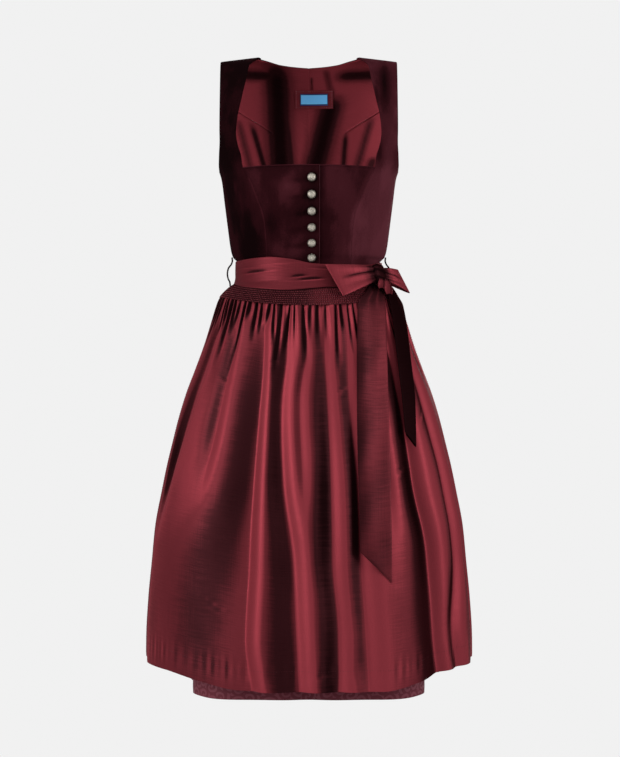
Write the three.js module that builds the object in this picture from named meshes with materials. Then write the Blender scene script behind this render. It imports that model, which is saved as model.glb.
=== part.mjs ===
// A dirndl: a fitted velvet bodice on wide straps, a pleated skirt, and a gathered taffeta apron
// whose tie goes round the waist and ends in a bow. It keeps the hollow form it has when worn.
//
// Millimetres, +Z up. The front faces -Y and +X is the wearer's left. The origin lies between the
// shoulders, level with the strap ridges, where the wearer carries it. Heights in the tables are
// given as "down", the distance below the origin.
//
// Every piece of cloth is a thin closed wall. A form is a stack of rounded sections, one table row
// for each height, and a piece is a patch of such a form between two seams, with its own thickness.

import * as THREE from "three";

// ---------------------------------------------------------------------------------------------
// Driving dimensions
// ---------------------------------------------------------------------------------------------

const SEAM_GAP = 0.3;             // between pieces that are sewn together
const VELVET = 2.0;               // wall of the bodice
const LINING = 1.0;
const LINING_GAP = 0.5;           // between the velvet and its lining
const TAFFETA = 1.2;              // wall of the apron and its tie
const SKIRT_CLOTH = 1.5;

const RIDGE_RISE = 4;             // strap ridge above the origin, at the neck end
const RIDGE_NECK_X = 86;          // where the strap ridge starts, from the centre
const RIDGE_ARM_X = 149;          // and where it ends, at the armhole
const RIDGE_FALL = 7;             // how far it falls between the two
const NAPE_RISE = 26;             // the back neck stands this much above the ridge line
const CHEST_DOWN = 190;           // underarm level
const NECK_EDGE_DOWN = 191.5;     // straight front neckline
const WAIST_DOWN = 368;
const ARM_EDGE_X = 150;           // armhole edge from the centre
const ARM_CURVE = 70;             // height of the rounded bottom of the armhole
const SKIRT_HEM_DOWN = 1061;
const HEM_LIFT = 13;

const PLACKET_EDGE_X = 18.6;      // right front laps over the left as far as this
const UNDERLAP_X = -8;
const LAP_DEPTH = 2.4;
const LAP_RAMP = 16;              // over this width the left front comes back out

const BUTTON_X = 4.7;
const BUTTON_RADIUS = 7.5;
const BUTTON_DOWN = [213, 240.5, 267.5, 293.5, 318.5, 341.5];

const APRON_SIDE_DEG = 97;        // the apron wraps this far round on each side
const SKIRT_SIDE_DEG = 100;
const GATHERS = 36;
const SMOCKED_PLEATS = 60;
const SMOCKING_RELIEF = 1.3;
const SMOCKING_TUCK = 2.4;        // the smocked band lies this much deeper under the tie
const WAISTBAND_TUCK = 4;         // and the waistband's inner side this much
const BACK_PLEATS = 28;           // over the two back panels
const FRONT_FOLDS = 8;

const KNOT_DEG = 58;              // the bow is tied on the wearer's left
const KNOT_DOWN = 367;
const KNOT_OUT = 14.2;             // its middle stands this far out of the tie
const KNOT_LEAN = 13;             // degrees its foot is pushed out by the gathers
const KNOT_SIZE = { across: 15, out: 7.5, up: 17.5 };

const THREAD_LOOP_RADIUS = 1.5;

const COLOURS = {
  velvet: [0x2a0c12, 0.85],
  lining: [0x5d2227, 0.4],
  taffeta: [0x7a2a31, 0.35],
  skirt: [0x6a2e3c, 0.6],
  label: [0x4f9bd2, 0.6],
  silver: [0xb9b0a0, 0.35],
  thread: [0x1c1012, 0.9],
};

// ---------------------------------------------------------------------------------------------
// Tables
// ---------------------------------------------------------------------------------------------

const table = (names, rows) => {
  const keys = names.split(" ");
  return rows.map((row) => Object.fromEntries(keys.map((key, i) => [key, row[i]])));
};

// The fitted body: half width, and how far the cloth stands in front of and behind the origin.
const BODY = table("down halfWidth front back", [
  [0, 172, 127, 98],
  [120, 171.5, 127, 98],
  [155, 166, 127, 98],
  [180, 157.5, 127, 98],
  [190, 152.5, 127, 98],
  [205, 148, 128, 98],
  [245, 142.8, 124, 95.5],
  [285, 137.7, 115, 92],
  [325, 132, 103, 89.5],
  [336, 128.5, 99.5, 89],
  [343, 121.6, 96.5, 88],
  [350, 120, 95.5, 87.5],
  [368, 119.5, 95, 87],
]);

// The tie and the apron, over the bodice and skirt.
const OUTER = table("down halfWidth front back", [
  [336, 124.9, 101.2, 92],
  [368, 124.6, 100.4, 91.6],
  [379, 127, 102, 93],
  [387, 137, 104, 97.5],
  [397, 147.5, 108, 103],
  [408, 155.6, 114, 109],
  [418, 159.5, 119, 113],
  [445, 168, 128, 120],
  [486, 181, 138, 130],
  [527, 196, 148, 140],
  [567, 211, 158, 150],
  [608, 223.6, 168, 159],
  [649, 234, 176, 167],
  [690, 244, 184, 175],
  [731, 252.5, 190, 181],
  [792, 264, 198, 188],
  [853, 270, 203, 193],
  [914, 276, 208, 198],
  [975, 279.7, 212, 201],
  [1041, 280.5, 215, 204],
]);

// The skirt. Spread is added to the half width behind, and square turns an oval (2) boxy.
const SKIRT = table("down halfWidth front back spread square", [
  [368, 119.5, 95, 87, 0, 2],
  [381, 121.2, 96.5, 88.5, 0, 2],
  [390, 127, 98, 94, 2, 2],
  [400, 134, 101, 104, 4, 2],
  [423, 146, 108, 122, 8, 2],
  [445, 152, 114, 134, 11, 2.05],
  [486, 162, 119, 143, 14, 2.15],
  [527, 172, 124, 151, 18, 2.3],
  [608, 185, 134, 165, 26, 2.6],
  [690, 190.5, 142, 179, 34, 3],
  [792, 193, 148, 192, 43, 3.5],
  [900, 194, 150, 203, 51, 4],
  [1061, 194, 150, 214, 60, 4.6],
]);

// Inner edge of each strap, from the ridge down to the front neckline.
const STRAP_EDGE = table("down x", [
  [-4, 81],
  [13, 100],
  [33, 103.5],
  [75, 112.5],
  [109, 119.5],
  [134, 121.5],
  [154, 118.5],
  [173, 113],
  [191.5, 111],
]);

const FRONT_SEAM = table("down x", [
  [190, 111.5],
  [215, 97.6],
  [250, 83.5],
  [276, 75],
  [307, 71.3],
  [340, 70],
  [368, 68],
]);

// From the armhole in and down: the seam turns a corner at the shoulder blade.
const BACK_SEAM = table("down x", [
  [60, 150],
  [84, 112],
  [106, 75],
  [115, 64],
  [165, 60.5],
  [250, 53],
  [368, 46],
]);

const BACK_NECK = table("x down", [
  [0, 4],
  [48, 1.5],
  [70, -2],
  [86, -4],
]);

// Edges of the waist tie round the body. Degrees run from the front centre to the wearer's left.
const TIE_EDGE = table("deg top bottom", [
  [-102, 343, 380],
  [-75, 343, 382],
  [-48, 341, 389],
  [-33, 340, 392],
  [-14, 344, 395],
  [3, 351.5, 392],
  [12, 352.5, 390],
  [46, 352, 389],
  [75, 346, 384],
  [102, 344, 382],
  [180, 340, 386],
  [258, 343, 380],
]);

// Creases pressed into the tie in front: place, height, tilt, depth.
const TIE_CREASES = table("deg down tilt depth", [
  [-45, 358, 0.1, 0.5],
  [-16, 368, -0.12, 0.7],
  [-8, 379, -0.15, 0.7],
]);

// The apron's folds: where the bottom of each one lies, in degrees, at seven heights (named by how
// far down they are), how deep it is, how wide its left side is at the top and at the hem, how wide
// its right side is, and how far down it ends.
const FOLDS = table("at421 at478 at576 at704 at829 at954 at1040 depth left leftHem right ends", [
  [-86, -86, -85, -84, -84, -84, -84, 13, 6, 6, 4, 2000],
  [-66, -63, -64.7, -71, -73, -74, -74, 10, 5, 5, 3.4, 780],
  [-48, -44, -42.6, -44.5, -47, -49, -50, 10, 5, 5, 3.4, 720],
  [-30, -25, -22.5, -22.2, -22, -22.6, -20, 19, 10, 32, 3.2, 2000],
  [-14, -11, -12, -10, -5.6, -4.1, -3.1, 16.5, 6, 7.5, 3.6, 2000],
  [-3, -0.9, -3.8, -2.1, -1, 0, 0, 6, 3, 3, 2.6, 760],
  [8, 8.1, 8.4, 8.7, 8.6, 10.2, 10.2, 15, 5, 5.5, 3.6, 2000],
  [22, 21, 18.4, 19.4, 19, 20, 21, 14, 5, 6, 3.6, 1100],
  [31, 29, 31, 31, 31, 33, 35, 6, 4, 4, 3.4, 800],
  [45, 47, 46, 46, 49.5, 50, 53, 18, 6, 9, 3.8, 2000],
  [64, 63, 63, 67, 68, 61, 66, 11, 5, 6, 4, 2000],
  [86, 86, 85, 84, 84, 84, 84, 13, 5, 5, 5, 2000],
]);
const FOLD_HEIGHTS = [421, 478, 576, 704, 829, 954, 1040];

// One turn of a bow loop: how far along from knot to fold, and how far out of its middle.
const LOOP_TURN = table("along out", [
  [0, 2.4],
  [0.18, 5],
  [0.5, 6.6],
  [0.8, 6],
  [0.95, 4.4],
  [1, 1.4],
  [0.95, -1.6],
  [0.75, -2.6],
  [0.4, -2.8],
  [0, -2.4],
]);

// The two ends of the tie that hang from the knot: left and right edge, and how far they stand out.
const LONG_END = table("down left right out", [
  [384.8, 103, 119, 6],
  [400, 91, 122.5, 3],
  [412, 82, 125, 1.8],
  [430, 79.5, 126.8, 1.8],
  [520, 77.8, 128, 1.8],
  [622, 77.5, 129.8, 1.8],
  [720, 79.6, 132, 1.8],
  [868, 83, 133, 1.8],
]);

const SHORT_END = table("down left right", [
  [386.5, 121.5, 129],
  [402, 127, 143],
  [418, 130.5, 152.5],
  [518, 142.3, 165],
  [582, 149, 170.5],
  [655, 155, 171],
]);

// The short end hangs folded in two: across it (0 left edge, 1 fold), and out of the apron.
const SHORT_FOLD = table("across out", [
  [0, 7.2],
  [0.5, 7.2],
  [0.94, 6.8],
  [1.03, 5],
  [0.94, 3.2],
  [0.5, 2.8],
  [0.2, 2.8],
]);

const APRON_HEM = table("deg down", [
  [0, 1039],
  [25, 1040],
  [40, 1030],
  [59, 1018],
  [97, 1013],
]);

// ---------------------------------------------------------------------------------------------
// Curves through the tables
// ---------------------------------------------------------------------------------------------

const radians = THREE.MathUtils.degToRad;
const lerp = THREE.MathUtils.lerp;
const clamp = THREE.MathUtils.clamp;
const ease = (value, from, to) => THREE.MathUtils.smoothstep(value, from, to);

// A curve through one column of a table that never swings past its points.
function read(rows, key, column, at) {
  const last = rows.length - 1;
  const place = clamp(at, rows[0][key], rows[last][key]);
  let i = 0;
  while (i < last - 1 && rows[i + 1][key] < place) i += 1;
  const slope = (j) => (rows[j + 1][column] - rows[j][column]) / (rows[j + 1][key] - rows[j][key]);
  const tangent = (j) => {
    if (j === 0) return slope(0);
    if (j === last) return slope(last - 1);
    const before = slope(j - 1);
    const after = slope(j);
    return before * after <= 0 ? 0 : (2 * before * after) / (before + after);
  };
  const width = rows[i + 1][key] - rows[i][key];
  const t = (place - rows[i][key]) / width;
  const rest = 1 - t;
  const ends = rows[i][column] * (1 + 2 * t) * rest * rest + rows[i + 1][column] * t * t * (3 - 2 * t);
  return ends + width * t * rest * (tangent(i) * rest - tangent(i + 1) * t);
}

// A steady number between -1 and 1 for each whole number, so that no two gathers are alike.
function uneven(index) {
  const value = Math.sin(index * 12.9898 + 4.1) * 43758.5453;
  return 2 * (value - Math.floor(value)) - 1;
}

const range = (count) => Array.from({ length: count + 1 }, (unused, i) => i / count);

// ---------------------------------------------------------------------------------------------
// Forms
// ---------------------------------------------------------------------------------------------

// A point of a rounded section, and the level direction that points out of it there.
function ringPoint(halfWidth, depth, square, angle) {
  const s = Math.sin(angle);
  const c = Math.cos(angle);
  const round = (Math.abs(s) ** square + Math.abs(c) ** square) ** (-1 / square);
  const x = halfWidth * s * round;
  const y = -depth * c * round;
  const nx = (Math.sign(x) * Math.abs(x) ** (square - 1)) / halfWidth ** square;
  const ny = (Math.sign(y) * Math.abs(y) ** (square - 1)) / depth ** square;
  const length = Math.hypot(nx, ny);
  return { x, y, out: new THREE.Vector3(nx / length, ny / length, 0) };
}

function ridgeHeight(x) {
  const side = Math.abs(x);
  if (side >= RIDGE_NECK_X) {
    return RIDGE_RISE - (RIDGE_FALL * (side - RIDGE_NECK_X)) / (RIDGE_ARM_X - RIDGE_NECK_X);
  }
  return RIDGE_RISE + NAPE_RISE * Math.cos((Math.PI / 2) * (side / RIDGE_NECK_X)) ** 2;
}

// The body runs from the shoulder ridge (course 0) over the chest line (1) to the waist (2).
// Between 0 and 1 it turns over the shoulder like a quarter of an oval.
function courseDown(course) {
  if (course >= 1) return CHEST_DOWN + (course - 1) * (WAIST_DOWN - CHEST_DOWN);
  return CHEST_DOWN - (CHEST_DOWN + RIDGE_RISE) * Math.cos((course * Math.PI) / 2);
}

function courseAt(down) {
  if (down >= CHEST_DOWN) return 1 + (down - CHEST_DOWN) / (WAIST_DOWN - CHEST_DOWN);
  const share = clamp((CHEST_DOWN - down) / (CHEST_DOWN + RIDGE_RISE), 0, 1);
  return (2 / Math.PI) * Math.acos(share);
}

// The course that lies at a given height at this distance from the centre.
function courseAtHeight(x, down) {
  const share = clamp((CHEST_DOWN - down) / (CHEST_DOWN + ridgeHeight(x)), 0, 1);
  return (2 / Math.PI) * Math.acos(share);
}

function bodyPoint(angle, course) {
  const down = courseDown(course);
  const turn = (Math.min(course, 1) * Math.PI) / 2;
  const halfWidth = read(BODY, "down", "halfWidth", down);
  const depth = read(BODY, "down", Math.cos(angle) > 0 ? "front" : "back", down);
  const x = halfWidth * Math.sin(angle);
  const y = -depth * Math.cos(angle) * Math.sin(turn);
  const z = course >= 1 ? -down : -CHEST_DOWN + (ridgeHeight(x) + CHEST_DOWN) * Math.cos(turn);
  return new THREE.Vector3(x, y, z);
}

// The body's point moved straight out of the cloth (a minus moves it in).
function onBody(angle, course, out) {
  const step = 0.004;
  const across = bodyPoint(angle + step, course).sub(bodyPoint(angle - step, course));
  const upper = Math.max(course - step, 0);
  const along = bodyPoint(angle, course + step).sub(bodyPoint(angle, upper));
  const normal = along.cross(across).normalize();
  return bodyPoint(angle, course).addScaledVector(normal, out);
}

const angleOf = (x, down) => Math.asin(clamp(x / read(BODY, "down", "halfWidth", down), -1, 1));

// A level section of the outer form or the skirt, moved out by a given distance.
function onOuter(angle, down, out) {
  const side = Math.cos(angle) > 0 ? "front" : "back";
  const halfWidth = read(OUTER, "down", "halfWidth", down);
  const ring = ringPoint(halfWidth, read(OUTER, "down", side, down), 2, angle);
  return new THREE.Vector3(ring.x, ring.y, -down).addScaledVector(ring.out, out);
}

// The hem rises a little at the sides, so it stays behind the apron's lower corners.
function hemLift(turned, down) {
  const atSide = ease(turned, radians(66), radians(95)) * (1 - ease(turned, radians(130), radians(168)));
  return HEM_LIFT * atSide * ease(down, 760, SKIRT_HEM_DOWN);
}

function onSkirt(angle, level, out) {
  const side = Math.cos(angle) > 0 ? "front" : "back";
  const turned = Math.abs(angle > Math.PI ? 2 * Math.PI - angle : angle);
  const down = level - hemLift(turned, level);
  const behind = ease(turned, radians(78), radians(125));
  const spread = read(SKIRT, "down", "spread", down) * behind;
  const halfWidth = read(SKIRT, "down", "halfWidth", down) + spread;
  const depth = read(SKIRT, "down", side, down);
  const ring = ringPoint(halfWidth, depth, read(SKIRT, "down", "square", down), angle);
  return new THREE.Vector3(ring.x, ring.y, -down).addScaledVector(ring.out, out);
}

// ---------------------------------------------------------------------------------------------
// Walls
// ---------------------------------------------------------------------------------------------

// Joins two lines of point numbers with triangles, also where one line has more points.
function stitch(faces, first, second) {
  let i = 0;
  let j = 0;
  while (i < first.length - 1 || j < second.length - 1) {
    const nextFirst = (i + 1) / (first.length - 1);
    const nextSecond = (j + 1) / (second.length - 1);
    const takeFirst = j === second.length - 1 || (i < first.length - 1 && nextFirst <= nextSecond);
    if (takeFirst) {
      faces.push(first[i], second[j], first[i + 1]);
      i += 1;
    } else {
      faces.push(first[i], second[j], second[j + 1]);
      j += 1;
    }
  }
}

// A closed wall from rows of outer and inner points, top row first, each row from left to right
// as seen from outside. The two sides may have different numbers of points.
function wallGeometry(rows) {
  const points = [];
  const number = (point) => points.push(point.x, point.y, point.z) / 3 - 1;
  const outer = rows.map((row) => row.outer.map(number));
  const inner = rows.map((row) => row.inner.map(number));
  const faces = [];
  for (let r = 0; r < rows.length - 1; r += 1) {
    stitch(faces, outer[r], outer[r + 1]);
    const back = [];
    stitch(back, inner[r], inner[r + 1]);
    faces.push(...back.reverse());
  }
  const end = rows.length - 1;
  stitch(faces, inner[0], outer[0]);
  stitch(faces, outer[end], inner[end]);
  stitch(faces, outer.map((row) => row[0]), inner.map((row) => row[0]));
  stitch(faces, inner.map((row) => row.at(-1)), outer.map((row) => row.at(-1)));
  const geometry = new THREE.BufferGeometry();
  geometry.setAttribute("position", new THREE.Float32BufferAttribute(points, 3));
  geometry.setIndex(faces);
  return geometry;
}

const dirndl = new THREE.Group();
dirndl.name = "dirndl";

const materials = Object.fromEntries(
  Object.entries(COLOURS).map(([name, [color, roughness]]) => {
    const metalness = name === "silver" ? 1 : 0;
    return [name, new THREE.MeshStandardMaterial({ color, roughness, metalness })];
  }),
);

function add(name, geometry, material) {
  geometry.computeVertexNormals();
  const mesh = new THREE.Mesh(geometry, materials[material]);
  mesh.name = name;
  dirndl.add(mesh);
  return mesh;
}

// ---------------------------------------------------------------------------------------------
// Bodice
// ---------------------------------------------------------------------------------------------

// Rows of the pieces, by how far down they lie. Pieces that meet at a seam share their rows.
const STRAP_ROWS = [-3.99, -3.2, 0, 8, 22, 42, 68, 98, 125, 145, 160, 172, 180, 186];
const TRUNK_ROWS = [NECK_EDGE_DOWN, 198, 212, 230, 252, 277, 304, 326, 336, 342, 349, 367.85];
const BACK_ROWS = [61.5, 84, 106, 115, 138, 160, 175, 185, 190, 225, 265, 304, 330, 338, 345, 367.85];
const NECK_BLEND_DOWN = 48;       // above this the rows of the back bend up to the neck

const seamTurn = (down) => SEAM_GAP / 2 / read(BODY, "down", "halfWidth", down);

// The armhole edge as an angle: straight up from its rounded bottom at the underarm.
function armholeAngle(down) {
  const straight = angleOf(ARM_EDGE_X, Math.min(down, CHEST_DOWN - ARM_CURVE));
  const into = clamp((down - (CHEST_DOWN - ARM_CURVE)) / ARM_CURVE, 0, 1);
  return lerp(straight, Math.PI / 2, 1 - Math.sqrt(1 - into * into));
}

const velvetWall = { outerAt: () => 0, innerAt: () => -VELVET };
const liningWall = {
  outerAt: () => -VELVET - LINING_GAP,
  innerAt: () => -VELVET - LINING_GAP - LINING,
};

// Rows of a patch of the body, each from one edge angle to the other.
function bodiceRows({ downs, from, to, columns, outerAt, innerAt }) {
  return downs.map((down) => {
    const course = courseAt(down);
    const angles = range(columns).map((t) => lerp(from(down), to(down), t));
    return {
      outer: angles.map((angle) => onBody(angle, course, outerAt(angle, down))),
      inner: angles.map((angle) => onBody(angle, course, innerAt(angle, down))),
    };
  });
}

// Pieces cut in pairs: the wearer's left one from its rows, the right one as its mirror image.
function addPair(name, rows, material) {
  const left = wallGeometry(rows);
  const right = left.clone().scale(-1, 1, 1);
  right.setIndex([...left.index.array].reverse());
  add(`${name}_left`, left, material);
  add(`${name}_right`, right, material);
}

const frontSeamAngle = (down) => angleOf(read(FRONT_SEAM, "down", "x", down), down);

function addRightFront() {
  const from = (down) => seamTurn(down) - frontSeamAngle(down);
  const to = (down) => angleOf(PLACKET_EDGE_X, down);
  const rows = bodiceRows({ downs: TRUNK_ROWS, from, to, columns: 7, ...velvetWall });
  add("bodice_front_right", wallGeometry(rows), "velvet");
}

// The left front dips in under the right one where the two lap.
function addLeftFront() {
  const lapped = (angle, down) => {
    const x = Math.sin(angle) * read(BODY, "down", "halfWidth", down);
    return -LAP_DEPTH * (1 - ease(x, PLACKET_EDGE_X + 1, PLACKET_EDGE_X + LAP_RAMP));
  };
  const rows = bodiceRows({
    downs: TRUNK_ROWS,
    from: (down) => angleOf(UNDERLAP_X, down),
    to: (down) => frontSeamAngle(down) - seamTurn(down),
    columns: 8,
    outerAt: lapped,
    innerAt: (angle, down) => lapped(angle, down) - VELVET,
  });
  add("bodice_front_left", wallGeometry(rows), "velvet");
}

// The side front is cut in one with its strap, from the shoulder ridge to the waist.
function addSideFronts() {
  const from = (down) => {
    if (down >= NECK_EDGE_DOWN) return frontSeamAngle(down) + seamTurn(down);
    return angleOf(read(STRAP_EDGE, "down", "x", down), Math.max(down, 0));
  };
  const to = (down) => armholeAngle(Math.max(down, 0)) - seamTurn(down);
  const rows = bodiceRows({ downs: [...STRAP_ROWS, ...TRUNK_ROWS], from, to, columns: 5, ...velvetWall });
  addPair("bodice_side_front", rows, "velvet");
}

// Behind, angles are taken from the centre back.
const behind = (angle) => Math.PI - angle;

function backSeamX(down) {
  return down < BACK_SEAM[0].down ? ARM_EDGE_X : read(BACK_SEAM, "down", "x", down);
}

// The centre back reaches the strap ridge, so its top rows bend down from the ridge to the neck.
function centreBackRows(columns, wall) {
  const from = (down) => behind(angleOf(backSeamX(down) - SEAM_GAP / 2, down));
  const to = (down) => behind(seamTurn(down));
  const lowest = courseAt(NECK_BLEND_DOWN);
  const shoulderToNeck = range(columns).map((t) => lerp(ARM_EDGE_X - SEAM_GAP / 2, SEAM_GAP / 2, t));
  const topCourse = (x) => (x < RIDGE_NECK_X ? courseAtHeight(x, read(BACK_NECK, "x", "down", x)) : 0.002);
  const top = [0, 0.2, 0.4, 0.6, 0.8].map((share) => {
    const points = shoulderToNeck.map((x) => {
      const course = lerp(topCourse(x), lowest, share);
      return { angle: behind(angleOf(x, 0)), course };
    });
    return {
      outer: points.map((p) => onBody(p.angle, p.course, wall.outerAt())),
      inner: points.map((p) => onBody(p.angle, p.course, wall.innerAt())),
    };
  });
  const downs = [NECK_BLEND_DOWN, ...BACK_ROWS.filter((down) => down !== 175 && down !== 185)];
  return [...top, ...bodiceRows({ downs, from, to, columns, ...wall })];
}

function sideBackRows(columns, wall) {
  const from = (down) => behind(armholeAngle(down)) + seamTurn(down);
  const to = (down) => behind(angleOf(backSeamX(down) + SEAM_GAP / 2, down));
  return bodiceRows({ downs: BACK_ROWS, from, to, columns, ...wall });
}

addRightFront();
addLeftFront();
addSideFronts();
addPair("bodice_back", centreBackRows(5, velvetWall), "velvet");
addPair("bodice_side_back", sideBackRows(4, velvetWall), "velvet");
addPair("lining_back", centreBackRows(5, liningWall), "lining");
addPair("lining_side_back", sideBackRows(4, liningWall), "lining");

// ---------------------------------------------------------------------------------------------
// Label, sewn to the lining below the neck and left blank
// ---------------------------------------------------------------------------------------------

const LABEL_X = 9.5;
const LABEL_DOWN = 54;
const LINING_FACE = -VELVET - LINING_GAP - LINING;

function addLabelLayer(name, width, height, outerOut, thickness, material) {
  const columns = range(6).map((t) => LABEL_X + (0.5 - t) * width);
  const rows = range(2).map((t) => {
    const place = (x, out) => {
      const down = LABEL_DOWN + (t - 0.5) * height;
      return onBody(behind(angleOf(x, 0)), courseAtHeight(x, down), out);
    };
    return {
      outer: columns.map((x) => place(x, outerOut)),
      inner: columns.map((x) => place(x, outerOut - thickness)),
    };
  });
  add(name, wallGeometry(rows), material);
}

addLabelLayer("label_patch", 68, 31, LINING_FACE - 1.1, 1, "lining");
addLabelLayer("label", 50, 20, LINING_FACE - 2.6, 0.8, "label");

// ---------------------------------------------------------------------------------------------
// Buttons on the right front
// ---------------------------------------------------------------------------------------------

function addButtons() {
  const r = BUTTON_RADIUS;
  const profile = [
    [0, 0],
    [r * 0.75, 0],
    [r, 1.4],
    [r * 0.94, 2.5],
    [r * 0.6, 3.8],
    [0, 4.4],
  ].map(([x, y]) => new THREE.Vector2(x, y));
  BUTTON_DOWN.forEach((down, i) => {
    const angle = angleOf(BUTTON_X, down);
    const course = courseAt(down);
    const seat = onBody(angle, course, 0);
    const facing = onBody(angle, course, 1).sub(seat);
    const rim = range(12).map((t) => {
      const turn = 2 * Math.PI * t;
      const beside = angleOf(BUTTON_X + r * Math.cos(turn), down);
      return onBody(beside, courseAt(down + r * Math.sin(turn)), 0).sub(seat).dot(facing);
    });
    seat.addScaledVector(facing, Math.max(0, ...rim) + SEAM_GAP);
    const mesh = add(`button_${i + 1}`, new THREE.LatheGeometry(profile, 10), "silver");
    mesh.position.copy(seat);
    mesh.quaternion.setFromUnitVectors(new THREE.Vector3(0, 1, 0), facing.normalize());
  });
}

addButtons();

// ---------------------------------------------------------------------------------------------
// Skirt
// ---------------------------------------------------------------------------------------------

const SKIRT_ROWS = [368.15, 376, 386, 400, 423, 460, 520, 620, 760, 900, SKIRT_HEM_DOWN];

// Folds are counted from the first column, which may lie some columns into the pattern.
function skirtWall(from, to, columns, fold, first = 0) {
  const rows = SKIRT_ROWS.map((down) => {
    const points = range(columns).map((t, i) => ({ angle: lerp(from, to, t), depth: fold(first + i, down) }));
    return {
      outer: points.map((p) => onSkirt(p.angle, down, -p.depth)),
      inner: points.map((p) => onSkirt(p.angle, down, -p.depth - SKIRT_CLOTH)),
    };
  });
  return wallGeometry(rows);
}

function addSkirt() {
  const side = radians(SKIRT_SIDE_DEG);
  const seam = SEAM_GAP / 2 / 120;
  const frontFold = (i, down) => {
    const deep = 1 + 4 * ease(down, 380, 900);
    return i % 2 === 0 ? deep * (0.8 + 0.4 * uneven(i)) : 0;
  };
  add("skirt_front", skirtWall(-side + seam, side - seam, 2 * FRONT_FOLDS, frontFold), "skirt");
  const pleat = (i, down) => {
    // at the side seams the back lies as deep as the front it is sewn to
    if (i === 0) return frontFold(2 * FRONT_FOLDS, down);
    if (i === 2 * BACK_PLEATS) return frontFold(0, down);
    const deep = 1.5 + 6 * ease(down, 370, 430) + 8 * ease(down, 430, 1000);
    const own = i % 2 === 0 ? 1 + 0.3 * uneven(i) : 0.12 * (1 + uneven(i));
    return deep * own;
  };
  const last = 2 * Math.PI - side - seam;
  const half = BACK_PLEATS;
  add("skirt_back_left", skirtWall(side + seam, Math.PI - seam, half, pleat), "skirt");
  add("skirt_back_right", skirtWall(Math.PI + seam, last, half, pleat, half), "skirt");
}

addSkirt();

// ---------------------------------------------------------------------------------------------
// Apron: waistband, smocked band and gathered panel
// ---------------------------------------------------------------------------------------------

const tieTop = (angle) => read(TIE_EDGE, "deg", "top", THREE.MathUtils.radToDeg(angle));
const tieBottom = (angle) => read(TIE_EDGE, "deg", "bottom", THREE.MathUtils.radToDeg(angle));
const bandTop = (angle) => tieBottom(angle) - 9;
const bandBottom = (angle) => lerp(421, 403, Math.sin(angle) ** 2);
const hemDown = (angle) => read(APRON_HEM, "deg", "down", Math.abs(THREE.MathUtils.radToDeg(angle)));

// Rows between two edges that both change round the body.
function edgeToEdge({ from, to, columns, innerColumns, shares, downAt, outAt, inAt, surface }) {
  const line = (count, share, out) =>
    range(count).map((t, i) => {
      const angle = lerp(from, to, t);
      const down = downAt(angle, share);
      return surface(angle, down, out(i, share, angle, down));
    });
  const rows = shares.map((share) => ({
    outer: line(columns, share, outAt),
    inner: line(innerColumns ?? columns, share, inAt),
  }));
  return wallGeometry(rows);
}

function addWaistband() {
  const side = radians(APRON_SIDE_DEG);
  const geometry = edgeToEdge({
    from: -side,
    to: side,
    columns: 28,
    shares: [0, 1],
    downAt: (angle, share) => lerp(tieTop(angle) + 12, bandTop(angle) - SEAM_GAP, share),
    outAt: () => TAFFETA - WAISTBAND_TUCK,
    inAt: () => -WAISTBAND_TUCK,
    surface: onOuter,
  });
  add("apron_waistband", geometry, "taffeta");
}

function addSmocking() {
  const side = radians(APRON_SIDE_DEG);
  const covered = 0.22;           // share of the rows at the tie's lower edge
  const shown = 0.36;             // and just below it, where the smocking springs out
  const tucked = (share) => (share <= covered ? SMOCKING_TUCK : 0);
  const geometry = edgeToEdge({
    from: -side,
    to: side,
    columns: 2 * SMOCKED_PLEATS,
    innerColumns: 30,
    shares: [0, covered, shown, 1],
    downAt: (angle, share) => {
      const edge = tieBottom(angle) + 0.5;
      if (share <= covered) return lerp(bandTop(angle), edge, share / covered);
      return lerp(edge + 3, bandBottom(angle), (share - shown) / (1 - shown));
    },
    outAt: (i, share) => (i % 2 === 0 ? -SMOCKING_RELIEF : 0) - tucked(share),
    inAt: (i, share) => -SMOCKING_RELIEF - TAFFETA - tucked(share),
    surface: onOuter,
  });
  add("apron_smocking", geometry, "taffeta");
}

// Where each fold's bottom lies at a share of the way down, on a smooth curve through its places.
function foldPlaces(share) {
  const down = lerp(FOLD_HEIGHTS[0], FOLD_HEIGHTS.at(-1), share);
  return FOLDS.map((fold) => {
    const path = FOLD_HEIGHTS.map((height) => ({ height, deg: fold[`at${height}`] }));
    const left = lerp(fold.left, fold.leftHem, ease(share, 0.45, 0.95));
    const depth = fold.depth * (1 - ease(down, fold.ends - 110, fold.ends + 40));
    return { ...fold, left, depth, top: fold.at421, now: read(path, "height", "deg", down) };
  });
}

// A column keeps its place in the pattern and drifts with the folds beside it.
function drift(deg, folds) {
  const side = (edge) => ({ top: edge, now: edge });
  const path = [side(-APRON_SIDE_DEG), ...folds, side(APRON_SIDE_DEG)];
  let i = 0;
  while (i < path.length - 2 && path[i + 1].top < deg) i += 1;
  const t = (deg - path[i].top) / (path[i + 1].top - path[i].top);
  return lerp(path[i].now, path[i + 1].now, t);
}

// Folds fall off more gently on their left side than on their right.
function valleyDepth(deg, folds, share) {
  const grown = 0.35 + 0.65 * ease(share, 0.03, 0.6);
  const total = folds.reduce((sum, fold) => {
    const off = deg - fold.now;
    return sum + fold.depth * Math.exp(-(Math.abs(off / (off < 0 ? fold.left : fold.right)) ** 1.7));
  }, 0);
  return total * grown;
}

function gatherDepth(i, share) {
  if (i % 2 === 1) return 0.4 * (1 + uneven(i));
  const length = 0.34 + 0.2 * uneven(i + 7);
  return (3.6 + 1.6 * uneven(i)) * (0.45 + 0.55 * ease(share, 0, 0.06)) * (1 - ease(share, 0.04, length));
}

const APRON_ROWS = [0, 0.03, 0.07, 0.13, 0.21, 0.31, 0.43, 0.56, 0.7, 0.85, 1];

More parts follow.
